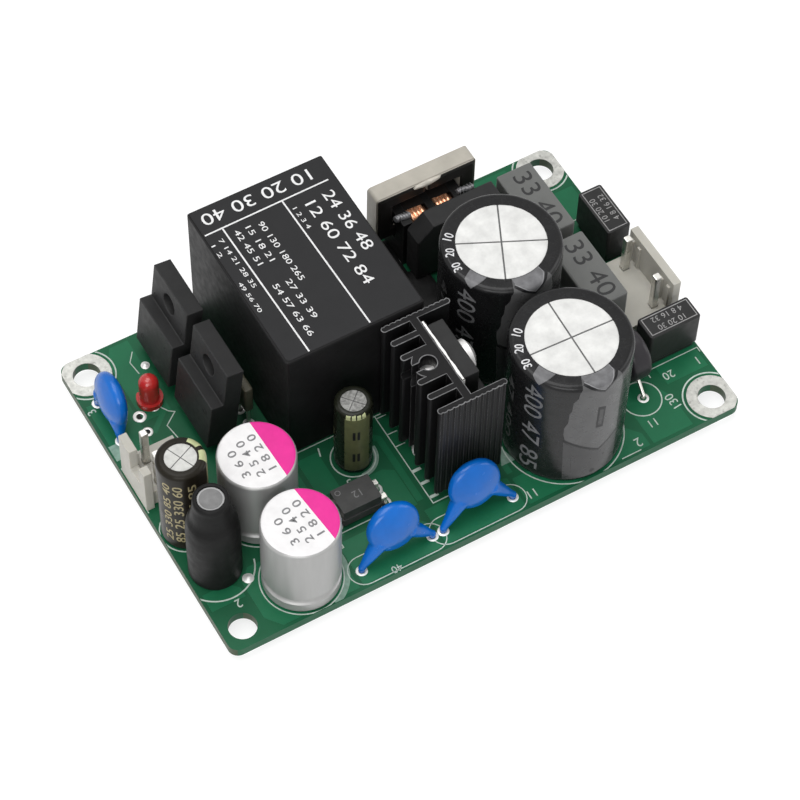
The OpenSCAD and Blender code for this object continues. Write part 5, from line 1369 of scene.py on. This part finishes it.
def buildTapeAndWindowShade():
    c = chokeLook
    (low, high), right = corners("choke_core_left"), corners("choke_core_right")[1]
    form = bmesh.new()
    # a dark sheet across the back of the window: painted shade in the window
    window = rectangle(low.x + c["leg"], low.z + c["leg"], right.x - c["leg"], high.z - c["yoke"])
    addSlab(form, window, high.y - 0.5, high.y - 0.3)
    form.transform(standUp)
    for name in ("choke_winding_left", "choke_winding_right"):  # the front turns stay bare
        start, end = corners(name)
        x0, x1, back = start.x - 0.05, end.x + 0.05, end.y - 0.8
        cover = [(x0, start.y + 2.45), (x1, start.y + 2.25), (x1, back), (x0, back)]
        addSlab(form, cover, end.z, end.z + 0.06)
    newPiece("choke_tape_and_window_shade", form, ["tapeAndShadeDark"])


for name in ("choke_winding_left", "choke_winding_right"):
    buildWinding(name)
buildVarnish()
buildChokeGlue()
buildWireEnds()
buildTapeAndWindowShade()
print("choke wound")


# painted shade: a black sheet on the board in the deep pit between the cover, the bridge and the first large
# capacitor

pitShadePlan = {
    "low": (2.3, -2.0), "high": (15.2, 25.4), "step": 0.35,
    "clear": 9.0,  # radius kept free round the capacitor
    "tall": 0.95, "most": 0.72,  # height, and the most that goes under the bridge
    "slope": 1.3,  # width of the sloping edge
}


def pitShadeRoom(x, y, can, front, side):
    # distance to the ragged edge of the painted shade
    g = pitShadePlan
    (x0, y0), (x1, y1) = g["low"], g["high"]
    ragged = 0.9 * noise.noise((x * 0.22, y * 0.22, 1.0)) + 0.35 * noise.noise((x * 0.8, y * 0.8, 2.0)) - 0.7
    return min(x1 - x + ragged, y - y0 + ragged, y1 - y + ragged, x - x0 + 0.5,
               max(front + 2.2 - y, side - x) + 0.3, math.hypot(x - can.x, y - can.y) - g["clear"])


def pitShadeHeight(x, y, room):
    g = pitShadePlan
    swell = min(1.0, max(0.0, room) / g["slope"]) ** 0.5
    lumps = 0.75 + 0.45 * noise.noise((x * 0.35, y * 0.35, 3.0)) + 0.12 * noise.noise((x * 1.4, y * 1.4, 7.0))
    return min(g["most"], g["tall"] * swell * lumps)


def buildPitShade():
    g = pitShadePlan
    (x0, y0), (x1, y1), step = g["low"], g["high"], g["step"]
    can = middle("bulk_sleeve_1")
    front, side = corners("bridge_rectifier")[0].y - 0.1, corners("choke_bobbin")[0].x - 0.1
    form = bmesh.new()
    grid = {}
    for j in range(round((y1 - y0) / step) + 1):
        for i in range(round((x1 - x0) / step) + 1):
            x, y = x0 + step * i, y0 + step * j
            room = pitShadeRoom(x, y, can, front, side)
            if room > -0.01:
                grid[i, j] = form.verts.new((x, y, boardBed + pitShadeHeight(x, y, room)))
    for i, j in list(grid):
        quad = [grid.get(key) for key in ((i, j), (i + 1, j), (i + 1, j + 1), (i, j + 1))]
        if all(quad):
            form.faces.new(quad)
    skirt = bmesh.ops.extrude_edge_only(form, edges=[e for e in form.edges if e.is_boundary])["geom"]
    for item in skirt:
        if isinstance(item, bmesh.types.BMVert):
            item.co.z = boardTop - 0.03
    loose = [v for v in form.verts if not v.link_faces]
    bmesh.ops.delete(form, geom=loose, context="VERTS")
    newPiece("painted_pit_shade", form, ["pitShadeBlack"])


buildPitShade()
print("glue laid")


# heat sink: painted highlights along its top edges, and paste on the thermal pad

sinkLook = {"edge": 0.075, "sink": 0.035}  # radius of a painted bright edge, how far it lies under the top


def buildSinkEdgeHighlights():
    # painted highlights: pale beads round the edges of the sawn top
    s = sinkLook
    solid = cadSolid("heat_sink")
    top = corners("heat_sink")[1].z
    sawn = {f for f in solid.faces if f.normal.z > 0.99 and abs(f.calc_center_median().z / mm - top) < 0.02}
    ways = {}
    for edge in solid.edges:
        if sum(f in sawn for f in edge.link_faces) == 1:
            a, b = edge.verts
            ways.setdefault(a, []).append(b)
            ways.setdefault(b, []).append(a)
    form = bmesh.new()
    left = set(ways)
    while left:
        here = start = min(left, key=lambda v: tuple(v.co))
        loop = []
        while here in left:
            left.remove(here)
            loop.append((here.co.x / mm, here.co.y / mm, top - s["sink"]))
            here = next((v for v in ways[here] if v in left), start)
        if len(loop) > 2:
            tube(form, loop, s["edge"], 6, True)
    solid.free()
    newPiece("sink_edge_highlights", form, ["sinkEdgeHighlight"])


pasteLook = {"margin": 0.02, "end": 0.15, "half": 0.17, "steps": 60, "lift": 0.05}


def buildPadEdge():
    # ragged white paste on the top edge of the thermal pad
    p = pasteLook
    low, high = corners("thermal_pad")
    m, bed = p["margin"], high.z - printBed
    form = bmesh.new()
    addSlab(form, rectangle(low.x + m, low.y + m, high.x - m, high.y - m), bed, high.z + 0.02)
    left, right = [], []
    for i in range(p["steps"] + 1):
        y = low.y + p["end"] + (high.y - low.y - 2 * p["end"]) * i / p["steps"]
        x = (low.x + high.x) / 2 + 0.1 * noise.noise((0.3, y * 0.5, 4.0))
        half = p["half"] + 0.14 * noise.noise((3.0, y * 0.45, 1.0)) + 0.06 * noise.noise((5.0, y * 2.2, 2.0))
        left.append((x - half, y))
        right.append((x + half, y))
    addSlab(form, right + left[::-1], bed, high.z + p["lift"], 1)
    newPiece("pad_edge", form, ["tapeAndShadeDark", "padWhite"])


buildSinkEdgeHighlights()
buildPadEdge()
print("heat sink edged")


# transformer label

labelPlan = {
    "margin": 0.3, "corner": 0.5, "film": 0.05, "ink": 0.07, "rule": 0.24,
    "lines": [
        [(-19.5, 22.4), (0.8, 22.7)], [(-16.7, 22.3), (-16.2, -2.3)], [(-6.9, 22.5), (-6.4, -2.2)],
    ],
    "rows": [  # plain numbers: text, size, middle x and y, turn, length
        ("10 20 30 40", 3.0, -9.5, 25.0, 180, 17.6), ("24 36 48", 2.6, -0.35, 15.0, -88, 11.8),
        ("12 60 72 84", 2.5, -3.35, 12.4, -88, 16.6), ("1 2 3 4", 1.0, -5.9, 18.6, -88, 4.2),
        ("90 130 180 265", 1.3, -11.3, 14.8, -88, 11.8), ("15 18 21", 1.3, -13.3, 17.4, -88, 7.0),
        ("27 33 39", 1.3, -12.8, 6.1, -88, 7.6), ("42 45 51", 1.3, -15.1, 17.4, -88, 7.0),
        ("54 57 63 66", 1.3, -14.75, 5.0, -88, 10.2), ("7 14 21 28 35", 1.0, -17.75, 15.9, -88, 9.8),
        ("1 2", 0.9, -19.3, 19.3, -88, 2.4), ("49 56 70", 0.9, -19.0, 9.8, -88, 5.9),
    ],
}


def buildLabel():
    p = labelPlan
    low, high = corners("transformer_cover")
    inset = p["margin"] + p["corner"]
    x0, y0, x1, y1 = low.x + inset, low.y + inset, high.x - inset, high.y - inset
    outline = []
    for x, y, start in ((x1, y1, 0), (x0, y1, 90), (x0, y0, 180), (x1, y0, 270)):
        outline += arc(x, y, p["corner"], start, start + 90, 6)
    form = bmesh.new()
    addSlab(form, outline, high.z - printBed, high.z + p["film"])
    for line in p["lines"]:
        addRibbon(form, line, p["rule"], high.z, high.z + p["ink"], finish=1)
    for text, size, x, y, turn, length in p["rows"]:
        addDigits(form, text, size, x, y, turn, high.z, high.z + p["ink"], 1, 1.0, length)
    newPiece("cover_label", form, ["labelFilm", "labelRule"])


buildLabel()
print("label laid")


# marks on moulded packages, fuses and film capacitors

mouldPlan = {
    # place of the rectifiers
    "rectX": -28.26, "rectY": (20.14, 8.04), "lean": 7.0, "back": 2.2, "stand": 2.0,
    # on a rectifier: depth of the face, across, up, radius
    "rectSpots": [(4.6, -3.4, 6.9, 0.45), (4.6, 3.4, 2.4, 0.45), (2.7, -3.9, 10.6, 0.4),
                  (2.7, 3.9, 10.6, 0.4)],
    "transistorSpots": [(-3.6, 5.4), (3.6, 5.4)], "transistorRadius": 0.5,
}


def addMouldMark(form, r, place, rise=0.9):
    # round mark of a mould's pin
    part = bmesh.new()
    profile = [(0, -0.02), (r * 0.8, -0.02), (r * rise, 0.035), (r, 0.035), (r * 1.06, -0.03)]
    addLathe(part, profile, 0, 0, 24, closed=False)
    part.transform(place)
    addForm(form, part)


def buildMouldMarks():
    p = mouldPlan
    lean = Matrix.Rotation(math.radians(p["lean"]), 4, "Y")
    towardsLeft, towardsRight = (Matrix.Rotation(math.radians(turn), 4, "Y") for turn in (-90, 90))
    form = bmesh.new()
    for y in p["rectY"]:
        stand = Matrix.Translation((p["rectX"], y, boardTop)) @ lean
        for depth, across, up, r in p["rectSpots"]:
            spot = Matrix.Translation((p["back"] - depth, across, p["stand"] + up))
            addMouldMark(form, r, stand @ spot @ towardsLeft)
    low, high = corners("transistor")
    for across, up in p["transistorSpots"]:
        spot = Matrix.Translation((high.x, (low.y + high.y) / 2 + across, low.z + up))
        addMouldMark(form, p["transistorRadius"], spot @ towardsRight, 0.88)
    newPiece("mould_marks", form, ["packageMark"])


packagePrint = {"lift": 0.012, "text": "12", "size": 1.7, "ring": 0.38, "ringLine": 0.12, "chipRing": 0.3,
                "chipLine": 0.1}


def buildPackagePrint():
    # number and first-pin ring on the optocoupler, ring under the controller
    p = packagePrint
    low, high = corners("optocoupler")
    at = middle("optocoupler")
    bed, over = high.z - printBed, high.z + p["lift"]
    form = bmesh.new()
    addDigits(form, p["text"], p["size"], at.x + 0.3, at.y, 180, bed, over)
    addRibbon(form, circle(low.x + 1.0, high.y - 1.0, p["ring"], 20), p["ringLine"], bed, over, True)
    low = corners("controller_chip")[0]
    ring = circle(low.x + 0.8, middle("controller_chip").y - 1.1, p["chipRing"], 20)
    addRibbon(form, ring, p["chipLine"], low.z - p["lift"], low.z + printBed, True)
    newPiece("package_print", form, ["printFaint"])


fusePlan = {
    "line": 0.14, "inset": 0.45, "lift": 0.015, "size": 1.35, "spacing": 1.02,
    "rows": ((-0.78, "10 20 30"), (0.78, "4 8 16 32")),  # distance from the middle, plain numbers
    "turn": {"fuse_1": 90, "fuse_2": 180},
}


def buildFusePrint():
    f = fusePlan
    m = f["inset"]
    form = bmesh.new()
    for name, turn in f["turn"].items():
        low, high = corners(name)
        at = middle(name)
        bed, over = high.z - printBed, high.z + f["lift"]
        outline = rectangle(low.x + m, low.y + m, high.x - m, high.y - m)
        addRibbon(form, outline, f["line"], bed, over, True)
        for row, text in f["rows"]:
            x, y = (at.x + row, at.y) if turn == 90 else (at.x, at.y + row)
            addDigits(form, text, f["size"], x, y, turn, bed, over, 0, f["spacing"])
    newPiece("fuse_print", form, ["fusePrint"])


filmPlan = {"text": "33 40", "size": 4.2, "length": 10.6, "lift": 0.014}


def buildFilmPrint():
    f = filmPlan
    form = bmesh.new()
    for name in ("film_capacitor_1", "film_capacitor_2"):
        at, top = middle(name), corners(name)[1].z
        addDigits(form, f["text"], f["size"], at.x + 0.3, at.y, -90, top - printBed, top + f["lift"],
                  length=f["length"])
    newPiece("film_print", form, ["filmDigits"])


buildMouldMarks()
buildPackagePrint()
buildFusePrint()
buildFilmPrint()
print("marks printed")


# floor, light, camera

def backgroundRays(tree):
    # 1 for rays that show the background: straight from the camera, mirrored, or through clear stuff
    path = addNode(tree, "ShaderNodeLightPath")
    seen = path.outputs["Is Camera Ray"]
    for kind in ("Is Glossy Ray", "Is Transmission Ray"):
        seen = addMath(tree, "MAXIMUM", seen, path.outputs[kind])
    return seen


stagePlan = {
    "size": 1800, "thick": 4.0, "dark": 0.80, "light": 0.84, "clouds": 14, "rough": 0.9, "shine": 0.1,
    "seenGrey": 0.30, "seenWhite": 0.78,  # where it is seen: part that takes shadow, part that is white
}


def floorFinish():
    s = stagePlan
    material = bpy.data.materials.new("paleFloor")
    material.use_nodes = True
    tree = material.node_tree
    shader = tree.nodes["Principled BSDF"]
    place = addNode(tree, "ShaderNodeTexCoord").outputs["Object"]
    pale = twoTone(tree, cloud(tree, place, s["clouds"]), (s["dark"],) * 3, (s["light"],) * 3)
    tree.links.new(pale, shader.inputs["Base Color"])
    shader.inputs["Roughness"].default_value = s["rough"]
    shader.inputs["Specular IOR Level"].default_value = s["shine"]
    # where it is seen the floor is lifted to white, and the shadow stays in it
    lit = addNode(tree, "ShaderNodeBsdfDiffuse", {"Color": rgba((s["seenGrey"],) * 3)})
    white = addNode(tree, "ShaderNodeEmission", {"Color": (1, 1, 1, 1), "Strength": s["seenWhite"]})
    both = addNode(tree, "ShaderNodeAddShader", {0: lit.outputs[0], 1: white.outputs[0]})
    inputs = {0: backgroundRays(tree), 1: shader.outputs[0], 2: both.outputs[0]}
    seen = addNode(tree, "ShaderNodeMixShader", inputs)
    tree.links.new(seen.outputs[0], tree.nodes["Material Output"].inputs["Surface"])
    return material


def buildStage():
    s = stagePlan
    half, top = s["size"] / 2, cadLow.z / mm
    form = bmesh.new()
    addRibbon(form, [(-half, 0), (half, 0)], s["size"], top - s["thick"], top)
    form.transform(Matrix.Scale(mm, 4))
    mesh = bpy.data.meshes.new("floor")
    form.to_mesh(mesh)
    form.free()
    mesh.materials.append(floorFinish())
    floor = bpy.data.objects.new("floor", mesh)
    scene.collection.objects.link(floor)


lampPlan = [  # name, place and aim in metres, size, power
    ("overheadBox", (-0.10, 0.10, 0.75), (0, 0, 0), (0.7, 0.55), 4.55),
    ("frontBox", (-0.45, -0.55, 0.45), (0, 0, 0.01), (0.5, 0.4), 2.9),
    ("rightBox", (0.65, -0.25, 0.35), (0, 0, 0.01), (0.4, 0.4), 1.2),
]
worldPlan = {"fill": 0.35, "seen": 1.0}  # strength as light on the part, and where it is seen


def addLamp(name, place, aim, size, power):
    data = bpy.data.lights.new(name, "AREA")
    data.shape = "RECTANGLE"
    data.size, data.size_y = size
    data.energy = power
    lamp = bpy.data.objects.new(name, data)
    lamp.location = place
    lamp.rotation_mode = "QUATERNION"
    lamp.rotation_quaternion = (Vector(aim) - Vector(place)).to_track_quat("-Z", "Y")
    scene.collection.objects.link(lamp)


def buildLight():
    for lamp in lampPlan:
        addLamp(*lamp)
    world = bpy.data.worlds.new("studio")
    world.use_nodes = True
    scene.world = world
    tree = world.node_tree
    strength = spread(tree, backgroundRays(tree), worldPlan["fill"], worldPlan["seen"], 0.0, 1.0)
    back = tree.nodes["Background"]
    back.inputs["Color"].default_value = (1, 1, 1, 1)
    tree.links.new(strength, back.inputs["Strength"])


cameraPlan = {
    "turn": -31.4291, "rise": 56.5094, "roll": 1.7379,  # degrees
    "distance": 431.3456, "target": (-1.1276, -2.2086, 1.6),  # millimetres
    "lens": 131.947, "sensor": 36,
}


def buildCamera():
    c = cameraPlan
    turn, rise, roll = (math.radians(c[key]) for key in ("turn", "rise", "roll"))
    back = Vector((math.sin(turn) * math.cos(rise), -math.cos(turn) * math.cos(rise), math.sin(rise)))
    right = Vector((math.cos(turn), math.sin(turn), 0))
    up = back.cross(right)
    side = right * math.cos(roll) + up * math.sin(roll)
    top = up * math.cos(roll) - right * math.sin(roll)
    data = bpy.data.cameras.new("camera")
    data.lens = c["lens"]
    data.sensor_width = c["sensor"]
    data.clip_start, data.clip_end = 0.01, 20
    camera = bpy.data.objects.new("camera", data)
    place = (Vector(c["target"]) + back * c["distance"]) * mm
    camera.matrix_world = Matrix.Translation(place) @ Matrix((side, top, back)).transposed().to_4x4()
    scene.collection.objects.link(camera)
    scene.camera = camera


buildStage()
buildLight()
buildCamera()
scene.view_settings.view_transform = "Standard"
print("stage, light and camera set")
